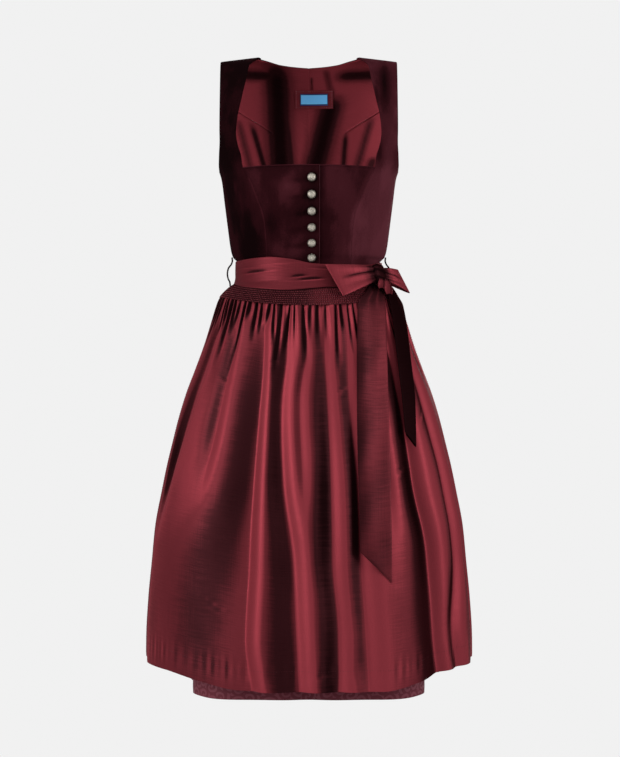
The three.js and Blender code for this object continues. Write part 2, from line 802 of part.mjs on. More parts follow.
function addApronPanel() {
  const columns = 2 * GATHERS;
  const rows = APRON_ROWS.map((share) => {
    const folds = foldPlaces(share);
    const points = range(columns).map((t, i) => {
      const deg = drift(lerp(-APRON_SIDE_DEG, APRON_SIDE_DEG, t), folds);
      const angle = radians(deg);
      const down = lerp(bandBottom(angle) + SEAM_GAP, hemDown(angle), share);
      return { angle, down, depth: valleyDepth(deg, folds, share) + gatherDepth(i, share) };
    });
    return {
      outer: points.map((p) => onOuter(p.angle, p.down, -p.depth)),
      inner: points.map((p) => onOuter(p.angle, p.down, -p.depth - TAFFETA)),
    };
  });
  add("apron_panel", wallGeometry(rows), "taffeta");
}

addWaistband();
addSmocking();
addApronPanel();

// ---------------------------------------------------------------------------------------------
// Tie round the waist: a stretch in front, one to the right of the knot, one round the back
// ---------------------------------------------------------------------------------------------

function creaseDepth(angle, down) {
  const deg = THREE.MathUtils.radToDeg(angle);
  return TIE_CREASES.reduce((sum, crease) => {
    const line = crease.down + (deg - crease.deg) * crease.tilt;
    const off = (down - line) / 3;
    const along = (deg - crease.deg) / 20;
    return sum + crease.depth * Math.exp(-off * off - along * along);
  }, 0);
}

function addTie(name, fromDeg, toDeg, columns) {
  const outAt = (i, share, angle, down) => {
    const pulled = 0.7 * Math.sin(Math.PI * share) - 0.3;
    return pulled - creaseDepth(angle, down);
  };
  const geometry = edgeToEdge({
    from: radians(fromDeg),
    to: radians(toDeg),
    columns,
    shares: range(3),
    downAt: (angle, share) => lerp(tieTop(angle), tieBottom(angle), share),
    outAt,
    inAt: (i, share, angle, down) => outAt(i, share, angle, down) - TAFFETA,
    surface: onOuter,
  });
  add(name, geometry, "taffeta");
}

addTie("tie_front", -100, KNOT_DEG - 0.1, 24);
addTie("tie_left", KNOT_DEG + 0.1, 99.9, 6);
addTie("tie_back", 100.1, 259.8, 20);

// ---------------------------------------------------------------------------------------------
// Bow: two loops, a knot and two hanging ends
// ---------------------------------------------------------------------------------------------

// A ribbon is a sheet given by a rule, point(across, along), with half its thickness on each side.
function ribbonGeometry(point, acrossPlaces, alongPlaces) {
  const step = 0.01;
  const half = TAFFETA / 2;
  const shift = (u, v, side) => {
    const across = point(u + step, v).sub(point(u - step, v));
    const along = point(u, v + step).sub(point(u, v - step));
    return point(u, v).addScaledVector(along.cross(across).normalize(), side * half);
  };
  const rows = alongPlaces.map((v) => ({
    outer: acrossPlaces.map((u) => shift(u, v, 1)),
    inner: acrossPlaces.map((u) => shift(u, v, -1)),
  }));
  return wallGeometry(rows);
}

// The place in a table's rows at a share of its length, going straight on past its ends.
function along(rows, column, share) {
  const place = share * (rows.length - 1);
  const i = clamp(Math.floor(place), 0, rows.length - 2);
  return lerp(rows[i][column], rows[i + 1][column], place - i);
}

// The knot's own directions: across it to the wearer's left, out of the cloth, and up.
const knotOut = onOuter(radians(KNOT_DEG), KNOT_DOWN, 1).sub(onOuter(radians(KNOT_DEG), KNOT_DOWN, 0));
const knotAcross = new THREE.Vector3(0, 0, 1).cross(knotOut);
knotOut.applyAxisAngle(knotAcross, -radians(KNOT_LEAN));
const knotUp = knotOut.clone().cross(knotAcross);
const knotCentre = onOuter(radians(KNOT_DEG), KNOT_DOWN, KNOT_OUT);
const fromKnot = (across, out, up) =>
  knotCentre
    .clone()
    .addScaledVector(knotAcross, across)
    .addScaledVector(knotOut, out)
    .addScaledVector(knotUp, up);

function addKnot() {
  const geometry = new THREE.SphereGeometry(1, 14, 8);
  const position = geometry.attributes.position;
  const boxy = (value) => Math.sign(value) * Math.abs(value) ** 0.72;
  for (let i = 0; i < position.count; i += 1) {
    const across = boxy(position.getX(i)) * KNOT_SIZE.across;
    const out = boxy(position.getZ(i)) * KNOT_SIZE.out;
    const up = boxy(position.getY(i)) * KNOT_SIZE.up;
    const point = fromKnot(across, out, up);
    position.setXYZ(i, point.x, point.y, point.z);
  }
  add("bow_knot", geometry, "taffeta");
}

// A loop runs from a line at the knot's side to its fold and back. Top and bottom are the ends
// of each line, and the cloth is rippled where the knot gathers it.
function addLoop(name, root, fold, outRoot, outFold, flipped) {
  const ripples = 2.5;
  const point = (u, v) => {
    const across = flipped ? 1 - u : u;
    const reach = along(LOOP_TURN, "along", v);
    const gather = 0.8 * (1 - reach) * Math.sin(2 * Math.PI * ripples * across);
    const out = along(LOOP_TURN, "out", v) + gather * Math.sign(0.5 - v);
    const start = root.top.clone().lerp(root.bottom, across);
    const end = fold.top.clone().lerp(fold.bottom, across);
    return start.lerp(end, reach).addScaledVector(outRoot.clone().lerp(outFold, reach), out);
  };
  add(name, ribbonGeometry(point, range(7), range(LOOP_TURN.length - 1)), "taffeta");
}

function addLoops() {
  const beside = KNOT_SIZE.across + 0.15;
  const place = (side, up) => fromKnot(side * beside, -1, up);
  const outRight = new THREE.Vector3(0.25, -0.97, 0);
  const foldRight = { top: new THREE.Vector3(27, -108, -354), bottom: new THREE.Vector3(56, -117, -406) };
  const rootRight = { top: place(-1, 11), bottom: place(-1, -13) };
  addLoop("bow_loop_right", rootRight, foldRight, knotOut, outRight, false);
  const outLeft = new THREE.Vector3(0.6, -0.8, 0);
  const foldLeft = { top: new THREE.Vector3(148, -28, -358), bottom: new THREE.Vector3(169, -23, -397) };
  const rootLeft = { top: place(1, 11), bottom: place(1, -13) };
  addLoop("bow_loop_left", rootLeft, foldLeft, knotOut, outLeft, true);
}

// A point on the apron at this distance from the centre, moved out of it.
function onApronFront(x, down, out) {
  return onOuter(Math.asin(x / read(OUTER, "down", "halfWidth", down)), down, out);
}

function addLongEnd() {
  const start = LONG_END[0].down;
  const point = (u, v) => {
    const end = lerp(818, 868, u);
    const down = lerp(start, end, v);
    const at = (column) => read(LONG_END, "down", column, down);
    return onApronFront(lerp(at("left"), at("right"), u), down, at("out") + 0.8 * Math.sin(2 * Math.PI * u));
  };
  const places = [0, 0.03, 0.06, 0.11, 0.3, 0.55, 0.8, 1];
  add("bow_end_long", ribbonGeometry(point, range(5), places), "taffeta");
}

function addShortEnd() {
  const start = SHORT_END[0].down;
  const point = (u, v) => {
    const across = along(SHORT_FOLD, "across", u);
    const down = lerp(start, lerp(628, 652, across), v);
    const at = (column) => read(SHORT_END, "down", column, down);
    const spread = Math.min(1, 0.45 + 3 * v);
    const out = 5 + (along(SHORT_FOLD, "out", u) - 5) * spread + 4 * (1 - ease(v, 0, 0.1));
    return onApronFront(lerp(at("left"), at("right"), across), down, out);
  };
  const places = [0, 0.06, 0.12, 0.45, 1];
  add("bow_end_short", ribbonGeometry(point, range(SHORT_FOLD.length - 1), places), "taffeta");
}

addKnot();
addLoops();
addLongEnd();
addShortEnd();

// ---------------------------------------------------------------------------------------------
// Thread loops at the side seams, which hold the tie up
// ---------------------------------------------------------------------------------------------

function addThreadLoop(name, sign) {
  const route = [
    [130.5, 335.5],
    [129.9, 341],
    [131.8, 347],
    [136.7, 354],
    [138.4, 363],
    [137.2, 371],
    [134.2, 377.5],
    [133.5, 384],
  ].map(([x, down]) => new THREE.Vector3(sign * x, 0, -down));
  const ring = new THREE.Shape(
    range(8)
      .slice(0, 8)
      .map((t) => new THREE.Vector2(Math.cos(2 * Math.PI * t), Math.sin(2 * Math.PI * t)))
      .map((point) => point.multiplyScalar(THREAD_LOOP_RADIUS)),
  );
  const extrudePath = new THREE.CatmullRomCurve3(route);
  add(name, new THREE.ExtrudeGeometry(ring, { steps: 10, extrudePath, bevelEnabled: false }), "thread");
}

addThreadLoop("thread_loop_right", -1);
addThreadLoop("thread_loop_left", 1);

export default dirndl;
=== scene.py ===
# %% [markdown]
# # A dirndl, made in cells
#
# The dress is a fitted velvet bodice on wide straps, a pleated skirt, and a gathered apron of shot
# taffeta whose tie ends in a bow. The frame already holds every piece at its real size and place.
# This lesson gives each one its cloth: folds, seams, stitches and a finish. It could be sculpted by
# hand, but cloth that follows a few rules is easier to keep exact, so each piece is a grid of
# points worked out with numpy on the same rounded forms as the frame's own solids.

# %% Load the frame
import math

import bpy
import numpy as np
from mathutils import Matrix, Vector


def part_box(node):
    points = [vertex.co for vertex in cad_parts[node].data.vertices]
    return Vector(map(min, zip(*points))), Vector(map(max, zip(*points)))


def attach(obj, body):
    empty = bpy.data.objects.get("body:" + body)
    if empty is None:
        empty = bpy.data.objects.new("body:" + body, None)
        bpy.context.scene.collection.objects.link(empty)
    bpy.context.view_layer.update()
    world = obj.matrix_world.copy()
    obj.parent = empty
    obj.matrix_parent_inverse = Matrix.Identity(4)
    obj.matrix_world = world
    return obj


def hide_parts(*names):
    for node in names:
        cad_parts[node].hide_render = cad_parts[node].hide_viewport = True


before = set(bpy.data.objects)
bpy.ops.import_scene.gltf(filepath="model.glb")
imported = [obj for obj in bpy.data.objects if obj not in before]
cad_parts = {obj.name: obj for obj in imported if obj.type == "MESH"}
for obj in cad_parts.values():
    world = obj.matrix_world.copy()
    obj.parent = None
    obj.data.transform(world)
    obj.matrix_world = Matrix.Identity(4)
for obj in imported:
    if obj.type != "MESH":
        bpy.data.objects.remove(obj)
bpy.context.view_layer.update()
MM = 0.001  # tables below are in millimetres, the scene is in metres
scene = bpy.context.scene
print("pieces in the frame:", len(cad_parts))

# %% [markdown]
# ## Camera
#
# The dress hangs in front of a camera three metres away, level with the hips. A long lens keeps
# the shoulders and the hem in proportion. There is no depth of field and no shift.

# %% Camera
CAMERA_PLACE = (0.0021, -3.0, -0.541)
CAMERA_LENS = 83.9

camera_data = bpy.data.cameras.new("camera")
camera_data.lens = CAMERA_LENS
camera_data.sensor_width = 36.0
camera = bpy.data.objects.new("camera", camera_data)
camera.location = CAMERA_PLACE
camera.rotation_euler = (math.radians(90), 0, 0)
scene.collection.objects.link(camera)
scene.camera = camera

# %% [markdown]
# ## Light and floor
#
# Shot taffeta lives on contrast: it glows where it faces a softbox and goes black beside it. One
# large box stands to the left of the camera and one to the right, with a dim room between them, a
# third hangs above, and a fourth lights the back. The floor and the room behind are plain and pale,
# and look even, however they are lit.

# %% Light and floor
FLOOR_DOWN = 1.25
FLOOR_REACH = 12.0
BACKDROP = (0.879, 0.879, 0.879, 1.0)
ROOM_LIGHT = 0.30
ROOM_COLOUR = (0.9, 0.93, 1.0, 1)


def node(tree, kind, inputs=None, **settings):
    """A new node: settings are its own options, inputs are values or the sockets that feed it."""
    made = tree.nodes.new(kind)
    for key, value in settings.items():
        setattr(made, key, value)
    for key, value in (inputs or {}).items():
        if isinstance(value, bpy.types.NodeSocket):
            tree.links.new(value, made.inputs[key])
        else:
            made.inputs[key].default_value = value
    return made


def softbox(name, place, aim, size, power):
    """A rectangular area light at place that faces aim."""
    light = bpy.data.lights.new(name, "AREA")
    light.shape = "RECTANGLE"
    light.size, light.size_y = size
    light.energy = power
    lamp = bpy.data.objects.new(name, light)
    lamp.location = place
    lamp.rotation_euler = (Vector(aim) - Vector(place)).to_track_quat("-Z", "Y").to_euler()
    scene.collection.objects.link(lamp)


WAIST_POINT = (0.0, 0.0, -0.5)
softbox("key_left", (-2.3, -1.7, 0.1), WAIST_POINT, (1.3, 2.4), 62)
softbox("fill_right", (2.4, -1.4, 0.2), WAIST_POINT, (1.2, 2.2), 44)
softbox("top", (0.0, -1.2, 2.4), (0.0, 0.0, -0.3), (2.0, 1.2), 24)
softbox("back", (0.6, 2.6, 0.6), WAIST_POINT, (2.0, 2.0), 60)

world = bpy.data.worlds.new("room")
scene.world = world
world.use_nodes = True
world.node_tree.nodes.clear()


def seen_plain(tree, other_shader):
    """An even pale shader where the backdrop is seen, another for the light that reaches the dress."""
    room_air = other_shader.bl_idname == "ShaderNodeBackground"
    plain = node(tree, "ShaderNodeBackground" if room_air else "ShaderNodeEmission", {"Color": BACKDROP})
    path = node(tree, "ShaderNodeLightPath")
    shaders = {0: path.outputs["Is Camera Ray"], 1: other_shader.outputs[0], 2: plain.outputs[0]}
    return node(tree, "ShaderNodeMixShader", shaders)


room = node(world.node_tree, "ShaderNodeBackground", {"Color": ROOM_COLOUR, "Strength": ROOM_LIGHT})
mixed = seen_plain(world.node_tree, room)
node(world.node_tree, "ShaderNodeOutputWorld", {"Surface": mixed.outputs[0]})

floor_mesh = bpy.data.meshes.new("floor")
corners = [(-1, -1), (1, -1), (1, 1), (-1, 1)]
floor_points = [(FLOOR_REACH * x, FLOOR_REACH * y, -FLOOR_DOWN) for x, y in corners]
floor_mesh.from_pydata(floor_points, [], [(0, 1, 2, 3)])
floor = bpy.data.objects.new("floor", floor_mesh)
scene.collection.objects.link(floor)
floor_paint = bpy.data.materials.new("pale_floor")
floor_paint.use_nodes = True
floor_paint.node_tree.nodes.clear()
matt = node(floor_paint.node_tree, "ShaderNodeBsdfDiffuse", {"Color": (0.5, 0.5, 0.5, 1)})
mixed = seen_plain(floor_paint.node_tree, matt)
node(floor_paint.node_tree, "ShaderNodeOutputMaterial", {"Surface": mixed.outputs[0]})
floor_mesh.materials.append(floor_paint)
scene.view_settings.view_transform = "Standard"

# %% [markdown]
# ## The forms
#
# Three forms carry the dress: the fitted body, the outer form of tie and apron, and the skirt.
# Each is a stack of rounded sections, and a table row gives one section. "down" is the distance
# below the shoulders. A smooth curve that never swings past its points runs through each column.

# %% Tables of the forms
SEAM_GAP = -0.4  # sewn panels close their seams, so they reach a little under each other
VELVET = 2.0
LINING = 1.0
LINING_GAP = 0.5
TAFFETA = 1.2
SKIRT_CLOTH = 1.5
RIDGE_RISE = 4
RIDGE_NECK_X = 86
RIDGE_ARM_X = 149
RIDGE_FALL = 7
NAPE_RISE = 26
CHEST_DOWN = 190
NECK_EDGE_DOWN = 191.5
WAIST_DOWN = 368
BODICE_END_DOWN = 367.85  # the bodice ends just above the skirt's first row
ARM_EDGE_X = 150
ARM_CURVE = 70
SKIRT_HEM_DOWN = 1061
HEM_LIFT = 13  # the hem rises a little at the sides, behind the apron's lower corners
PLACKET_EDGE_X = 18.6
UNDERLAP_X = -8
LAP_DEPTH = 2.4
LAP_RAMP = 16


def table(names, rows):
    """Named columns from rows of numbers."""
    return dict(zip(names.split(), np.array(rows, float).T))


def each(rows):
    """The rows of a table one after another, under the same names."""
    return [dict(zip(rows, values)) for values in zip(*rows.values())]


def bell(off):
    """1 at 0, and falling off smoothly on both sides."""
    return np.exp(-(off**2))


BODY = table("down halfWidth front back", [
    [0, 172, 127, 98],
    [120, 171.5, 127, 98],
    [155, 166, 127, 98],
    [180, 157.5, 127, 98],
    [190, 152.5, 127, 98],
    [205, 148, 128, 98],
    [245, 142.8, 124, 95.5],
    [285, 137.7, 115, 92],
    [325, 132, 103, 89.5],
    [336, 128.5, 99.5, 89],
    [343, 121.6, 96.5, 88],
    [350, 120, 95.5, 87.5],
    [368, 119.5, 95, 87],
])

OUTER = table("down halfWidth front back", [
    [336, 124.9, 101.2, 92],
    [368, 124.6, 100.4, 91.6],
    [379, 127, 102, 93],
    [387, 137, 104, 97.5],
    [397, 147.5, 108, 103],
    [408, 155.6, 114, 109],
    [418, 159.5, 119, 113],
    [445, 168, 128, 120],
    [486, 181, 138, 130],
    [527, 196, 148, 140],
    [567, 211, 158, 150],
    [608, 223.6, 168, 159],
    [649, 234, 176, 167],
    [690, 244, 184, 175],
    [731, 252.5, 190, 181],
    [792, 264, 198, 188],
    [853, 270, 203, 193],
    [914, 276, 208, 198],
    [975, 279.7, 212, 201],
    [1041, 280.5, 215, 204],
])

SKIRT = table("down halfWidth front back spread square", [
    [368, 119.5, 95, 87, 0, 2],
    [381, 121.2, 96.5, 88.5, 0, 2],
    [390, 127, 98, 94, 2, 2],
    [400, 134, 101, 104, 4, 2],
    [423, 146, 108, 122, 8, 2],
    [445, 152, 114, 134, 11, 2.05],
    [486, 162, 119, 143, 14, 2.15],
    [527, 172, 124, 151, 18, 2.3],
    [608, 185, 134, 165, 26, 2.6],
    [690, 190.5, 142, 179, 34, 3],
    [792, 193, 148, 192, 43, 3.5],
    [900, 194, 150, 203, 51, 4],
    [1061, 194, 150, 214, 60, 4.6],
])

STRAP_EDGE = table("down x", [
    [-4, 81],
    [13, 100],
    [33, 103.5],
    [75, 112.5],
    [109, 119.5],
    [134, 121.5],
    [154, 118.5],
    [173, 113],
    [191.5, 111],
])

FRONT_SEAM = table("down x", [
    [190, 111.5],
    [215, 97.6],
    [250, 83.5],
    [276, 75],
    [307, 71.3],
    [340, 70],
    [368, 68],
])

BACK_SEAM = table("down x", [
    [60, 150],
    [84, 112],
    [106, 75],
    [115, 64],
    [165, 60.5],
    [250, 53],
    [368, 46],
])

BACK_NECK = table("x down", [
    [0, 4],
    [48, 1.5],
    [70, -2],
    [86, -4],
])

TIE_EDGE = table("deg top bottom", [
    [-102, 343, 380],
    [-75, 343, 382],
    [-48, 341, 389],
    [-33, 340, 392],
    [-14, 344, 395],
    [3, 351.5, 392],
    [12, 352.5, 390],
    [46, 352, 389],
    [75, 346, 384],
    [102, 344, 382],
    [180, 340, 386],
    [258, 343, 380],
])

APRON_HEM = table("deg down", [
    [0, 1039],
    [25, 1040],
    [40, 1030],
    [59, 1018],
    [97, 1013],
])


# %% Curves of the forms
def read(rows, key, column, at):
    """A smooth curve through a column that never swings past its points."""
    places, values = rows[key], rows[column]
    at = np.clip(at, places[0], places[-1])
    slopes = np.diff(values) / np.diff(places)
    product = slopes[:-1] * slopes[1:]
    total = slopes[:-1] + slopes[1:]
    bent = np.where(product > 0, 2 * product / np.where(total == 0, 1, total), 0)
    tangents = np.concatenate([slopes[:1], bent, slopes[-1:]])
    i = np.clip(np.searchsorted(places, at) - 1, 0, len(places) - 2)
    width = places[i + 1] - places[i]
    t = (at - places[i]) / width
    rest = 1 - t
    ends = values[i] * (1 + 2 * t) * rest**2 + values[i + 1] * t**2 * (3 - 2 * t)
    return ends + width * t * rest * (tangents[i] * rest - tangents[i + 1] * t)


def ease(value, start, end):
    """0 before start, 1 after end, and smooth between."""
    t = np.clip((value - start) / (end - start), 0, 1)
    return t * t * (3 - 2 * t)


def lerp(a, b, t):
    return a + (b - a) * t


def uneven(index):
    """A steady number between -1 and 1 for each whole number."""
    value = np.sin(np.asarray(index, float) * 12.9898 + 4.1) * 43758.5453
    return 2 * (value - np.floor(value)) - 1


# %% The surface of the body
def ridge_height(x):
    """How high the shoulder ridge lies, from the nape out to the end of a strap."""
    side = np.abs(x)
    strap = RIDGE_RISE - RIDGE_FALL * (side - RIDGE_NECK_X) / (RIDGE_ARM_X - RIDGE_NECK_X)
    nape = RIDGE_RISE + NAPE_RISE * np.cos(np.pi / 2 * np.minimum(side / RIDGE_NECK_X, 1)) ** 2
    return np.where(side >= RIDGE_NECK_X, strap, nape)


def course_down(course):
    """The body runs from the shoulder ridge (course 0) over the chest line (1) to the waist (2)."""
    above = CHEST_DOWN - (CHEST_DOWN + RIDGE_RISE) * np.cos(np.minimum(course, 1) * np.pi / 2)
    below = CHEST_DOWN + (course - 1) * (WAIST_DOWN - CHEST_DOWN)
    return np.where(course >= 1, below, above)


def course_at(down):
    """The course of a height on a strap or on the trunk."""
    share = np.clip((CHEST_DOWN - down) / (CHEST_DOWN + RIDGE_RISE), 0, 1)
    below = 1 + (down - CHEST_DOWN) / (WAIST_DOWN - CHEST_DOWN)
    return np.where(down >= CHEST_DOWN, below, 2 / np.pi * np.arccos(share))


def course_at_height(x, down):
    """The course of a height behind the neck, where the ridge rises to the nape."""
    share = np.clip((CHEST_DOWN - down) / (CHEST_DOWN + ridge_height(x)), 0, 1)
    return 2 / np.pi * np.arccos(share)


def body_point(angle, course):
    """A point of the body: angle goes round from the front, course down from the ridge."""
    angle, course = np.broadcast_arrays(np.asarray(angle, float), np.asarray(course, float))
    down = course_down(course)
    turn = np.minimum(course, 1) * np.pi / 2
    in_front = np.cos(angle) > 0
    depth = np.where(in_front, read(BODY, "down", "front", down), read(BODY, "down", "back", down))
    x = half_width_of(down) * np.sin(angle)
    y = -depth * np.cos(angle) * np.sin(turn)
    over = -CHEST_DOWN + (ridge_height(x) + CHEST_DOWN) * np.cos(turn)
    return np.stack([x, y, np.where(course >= 1, -down, over)], -1)


def unit(vectors):
    return vectors / np.linalg.norm(vectors, axis=-1, keepdims=True)


def on_body(angle, course, out):
    """The body's point moved straight out of the cloth, or in where out is below 0."""
    step = 0.004
    across = body_point(angle + step, course) - body_point(angle - step, course)
    upper = np.maximum(course - step, 0)
    along = body_point(angle, course + step) - body_point(angle, upper)
    return body_point(angle, course) + unit(np.cross(along, across)) * np.asarray(out)[..., None]


def half_width_of(down):
    return read(BODY, "down", "halfWidth", down)


def angle_of(x, down):
    return np.arcsin(np.clip(x / half_width_of(down), -1, 1))


# %% The surfaces of apron and skirt
def ring(half_width, depth, square, angle, down, out):
    """A point of a rounded level section, moved out by a distance."""
    s, c = np.sin(angle), np.cos(angle)
    rounding = (np.abs(s) ** square + np.abs(c) ** square) ** (-1 / square)
    x, y = half_width * s * rounding, -depth * c * rounding
    nx = np.sign(x) * np.abs(x) ** (square - 1) / half_width**square
    ny = np.sign(y) * np.abs(y) ** (square - 1) / depth**square
    length = np.hypot(nx, ny)
    x, y, down = x + nx / length * out, y + ny / length * out, down + 0 * angle
    return np.stack(np.broadcast_arrays(x, y, -down), -1)


def on_outer(angle, down, out):
    angle, down = np.broadcast_arrays(np.asarray(angle, float), np.asarray(down, float))
    front, back = read(OUTER, "down", "front", down), read(OUTER, "down", "back", down)
    depth = np.where(np.cos(angle) > 0, front, back)
    return ring(read(OUTER, "down", "halfWidth", down), depth, 2, angle, down, out)


def on_skirt(angle, down, out):
    angle, level = np.broadcast_arrays(np.asarray(angle, float), np.asarray(down, float))
    away = np.abs(np.where(angle > np.pi, 2 * np.pi - angle, angle))
    before, after = (math.radians(66), math.radians(95)), (math.radians(130), math.radians(168))
    at_side = ease(away, *before) * (1 - ease(away, *after))
    down = level - HEM_LIFT * at_side * ease(level, 760, SKIRT_HEM_DOWN)
    front, back = read(SKIRT, "down", "front", down), read(SKIRT, "down", "back", down)
    depth = np.where(np.cos(angle) > 0, front, back)
    spread = read(SKIRT, "down", "spread", down) * ease(away, math.radians(78), math.radians(125))
    half_width = read(SKIRT, "down", "halfWidth", down) + spread
    return ring(half_width, depth, read(SKIRT, "down", "square", down), angle, down, out)


# %% [markdown]
# ## Cloth from a grid
#
# A piece of cloth is a grid of points, rows from top to bottom and columns from left to right as
# seen from outside. The shell gets an inner side, and edges that are pressed a little thinner, as
# on a turned edge. Two things are kept for the finish: where each point lies on the flat cut, and
# how far the cloth is turned away from the light side of its form. Shot cloth is red along one
# thread and black along the other, and that turn is used as painted shade: the finish paints the
# cloth black where it turns away from the light and red where it faces it.

# %% Grids and meshes
LIGHT_SIDE = (0.9, 0.45)  # how much painted shade falls where cloth turns aside, and turns down, away from the key light
SHARP_ANGLE = math.radians(62)
EDGE_PINCH = 0.3  # the share of its thickness that cloth loses at a pressed edge


def grid_directions(points):
    along = unit(np.gradient(points, axis=0))
    across = unit(np.gradient(points, axis=1))
    return along, across, unit(np.cross(along, across))


def shade_from_facing(points, form):
    """Painted shade from how far cloth on a form is turned to the right and down, away from the light, from
    -1 to 1.
    """
    down, right, _ = grid_directions(form)
    _, _, normal = grid_directions(points)
    aside = (normal * right).sum(-1) * LIGHT_SIDE[0]
    under = (normal * down).sum(-1) * LIGHT_SIDE[1]
    return aside + under


def flat_places(points):
    """Where each point lies on the flat cut, in metres: across from the middle, down from the top."""
    across = np.linalg.norm(np.diff(points, axis=1), axis=-1)
    across = np.concatenate([np.zeros((len(points), 1)), np.cumsum(across, axis=1)], axis=1)
    across = across.max(axis=0) - across.max() / 2
    down = np.linalg.norm(np.diff(points, axis=0), axis=-1)
    down = np.concatenate([np.zeros((1, points.shape[1])), np.cumsum(down, axis=0)], axis=0)
    return np.stack([np.broadcast_to(across, down.shape), down], -1) * MM


def stitch_edges(first, second):
    """Triangles between two lines of point numbers, also where one line has more points."""
    faces, i, j = [], 0, 0
    while i < len(first) - 1 or j < len(second) - 1:
        ahead = (i + 1) / max(len(first) - 1, 1) <= (j + 1) / max(len(second) - 1, 1)
        if j == len(second) - 1 or (i < len(first) - 1 and ahead):
            faces.append((first[i], second[j], first[i + 1]))
            i += 1
        else:
            faces.append((first[i], second[j], second[j + 1]))
            j += 1
    return faces


def quads(numbers):
    """Faces of a grid of point numbers, facing out."""
    corners_of = (numbers[:-1, :-1], numbers[1:, :-1], numbers[1:, 1:], numbers[:-1, 1:])
    return np.stack([c.ravel() for c in corners_of], 1).tolist()


def put_in_scene(name, mesh):
    made = bpy.data.objects.new(name, mesh)
    scene.collection.objects.link(made)
    return made


def make_mesh(name, points, faces, places, turn):
    """An object that keeps each point's place on the flat cut, and its turn, for the finish."""
    mesh = bpy.data.meshes.new(name)
    mesh.from_pydata((points * MM).tolist(), [], faces)
    corner = np.zeros(len(mesh.loops), np.int32)
    mesh.loops.foreach_get("vertex_index", corner)
    mesh.uv_layers.new(name="cut").data.foreach_set("uv", places[corner].astype(np.float32).ravel())
    mesh.attributes.new("turn", "FLOAT", "POINT").data.foreach_set("value", turn.astype(np.float32))
    mesh.validate()
    mesh.shade_smooth()
    mesh.set_sharp_from_angle(angle=SHARP_ANGLE)
    return put_in_scene(name, mesh)


# %% The shell
def shell(name, outer, thickness, form=None, turn=None, inner_rows=None, inner=None):
    """A closed thin wall on a grid of points. inner_rows may leave out rows of the hidden side."""
    _, _, normal = grid_directions(outer)
    # turn is painted shade: unless it is given, it follows how the cloth faces away from the light on its
    # form
    if turn is None:
        turn = np.zeros(outer.shape[:2]) if form is None else shade_from_facing(outer, form)
    places = flat_places(outer)
    if inner is None:
        inner = outer - normal * thickness
    rows = np.arange(len(outer)) if inner_rows is None else np.asarray(inner_rows)
    inner = inner[rows]
    face = outer.copy()
    rim = np.zeros(outer.shape[:2], bool)
    rim[[0, -1], :] = rim[:, [0, -1]] = True
    face[rim] -= normal[rim] * thickness * EDGE_PINCH
    count = outer.shape[0] * outer.shape[1]
    out = np.arange(count).reshape(outer.shape[:2])
    back = count + np.arange(inner.shape[0] * inner.shape[1]).reshape(inner.shape[:2])
    faces = quads(out) + quads(back[:, ::-1])
    faces += stitch_edges(back[0], out[0]) + stitch_edges(out[-1], back[-1])
    faces += stitch_edges(out[:, 0], back[:, 0]) + stitch_edges(back[:, -1], out[:, -1])
    points = np.concatenate([face.reshape(-1, 3), inner.reshape(-1, 3)])
    where = np.concatenate([places.reshape(-1, 2), places[rows].reshape(-1, 2)])
    turns = np.concatenate([turn.ravel(), turn[rows].ravel()])
    return make_mesh(name, points, faces, where, turns)


def band(name, middle, shade):
    """A band of taffeta of even thickness on both sides of a middle surface."""
    _, _, normal = grid_directions(middle)
    half = normal * (TAFFETA / 2)
    return shell(name, middle + half, TAFFETA, turn=shade, inner=middle - half)


def fasten(piece, replaced=None):
    """Makes a piece move with the dress and hides the solid it stands for."""
    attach(piece, "root")
    if replaced:
        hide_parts(replaced)
    print(piece.name, "faces:", len(piece.data.polygons))


def sew_in(piece, replaced, paint):
    """Gives a sheet its finish and its place on the dress."""
    piece.data.materials.append(paint)
    fasten(piece, replaced)


# %% [markdown]
# ## Finishes
#
# Each finish is a small node tree on the cut's own coordinates, so the weave follows the cloth.
# Velvet is a near-black wine with a faint sheen and patches of nap; painted light makes it lighter
# on the wearer's left, with painted highlights on seams and edges and painted shadows round the
# buttons. Shot taffeta is red along one thread and black along the other; its colour is painted
# shade by the turn of the cloth, red where it faces the light and black where it turns away, with
# fine crosswise slubs and a satin gloss, which is red and dull where the cloth is dark. An image of
# real cloth would do as well, but it would not scale.

# %% Helpers for finishes
TAFFETA_LIT_TO_SHADED = [  # painted light to painted shade, by how far the cloth is turned away: lit red, dull brown between, shaded black
    (0.00, (0.250, 0.034, 0.045, 1)),
    (0.30, (0.130, 0.019, 0.025, 1)),
    (0.62, (0.038, 0.0085, 0.0105, 1)),
    (1.00, (0.011, 0.0030, 0.0036, 1)),
]


def new_paint(name):
    paint = bpy.data.materials.new(name)
    paint.use_nodes = True
    paint.node_tree.nodes.clear()
    return paint, paint.node_tree


def end_paint(tree, **inputs):
    """The shader at the end of a finish, with short names for its sockets."""
    names = {
        "colour": "Base Color", "metal": "Metallic", "rough": "Roughness", "normal": "Normal",
        "sheen": "Sheen Weight", "sheen_rough": "Sheen Roughness", "sheen_tint": "Sheen Tint",
        "gloss": "Specular IOR Level", "edge": "Specular Tint",
    }
    shader = node(tree, "ShaderNodeBsdfPrincipled", {names[k]: v for k, v in inputs.items()})
    node(tree, "ShaderNodeOutputMaterial", {"Surface": shader.outputs[0]})


def mark(tree, name):
    """A number that the mesh keeps at each of its points."""
    return node(tree, "ShaderNodeAttribute", attribute_name=name).outputs["Fac"]


def cut_place(tree):
    return node(tree, "ShaderNodeUVMap", uv_map="cut").outputs[0]


def own_place(tree):
    return node(tree, "ShaderNodeTexCoord").outputs["Object"]


def noise(tree, coordinates, scale, stretch=(1, 1, 1), detail=2.0):
    """Noise at a number of waves per metre, stretched along some directions."""
    mapped = node(tree, "ShaderNodeMapping", {"Vector": coordinates, "Scale": stretch})
    made = node(tree, "ShaderNodeTexNoise", {"Vector": mapped.outputs[0], "Scale": scale, "Detail": detail})
    return made.outputs["Fac"]


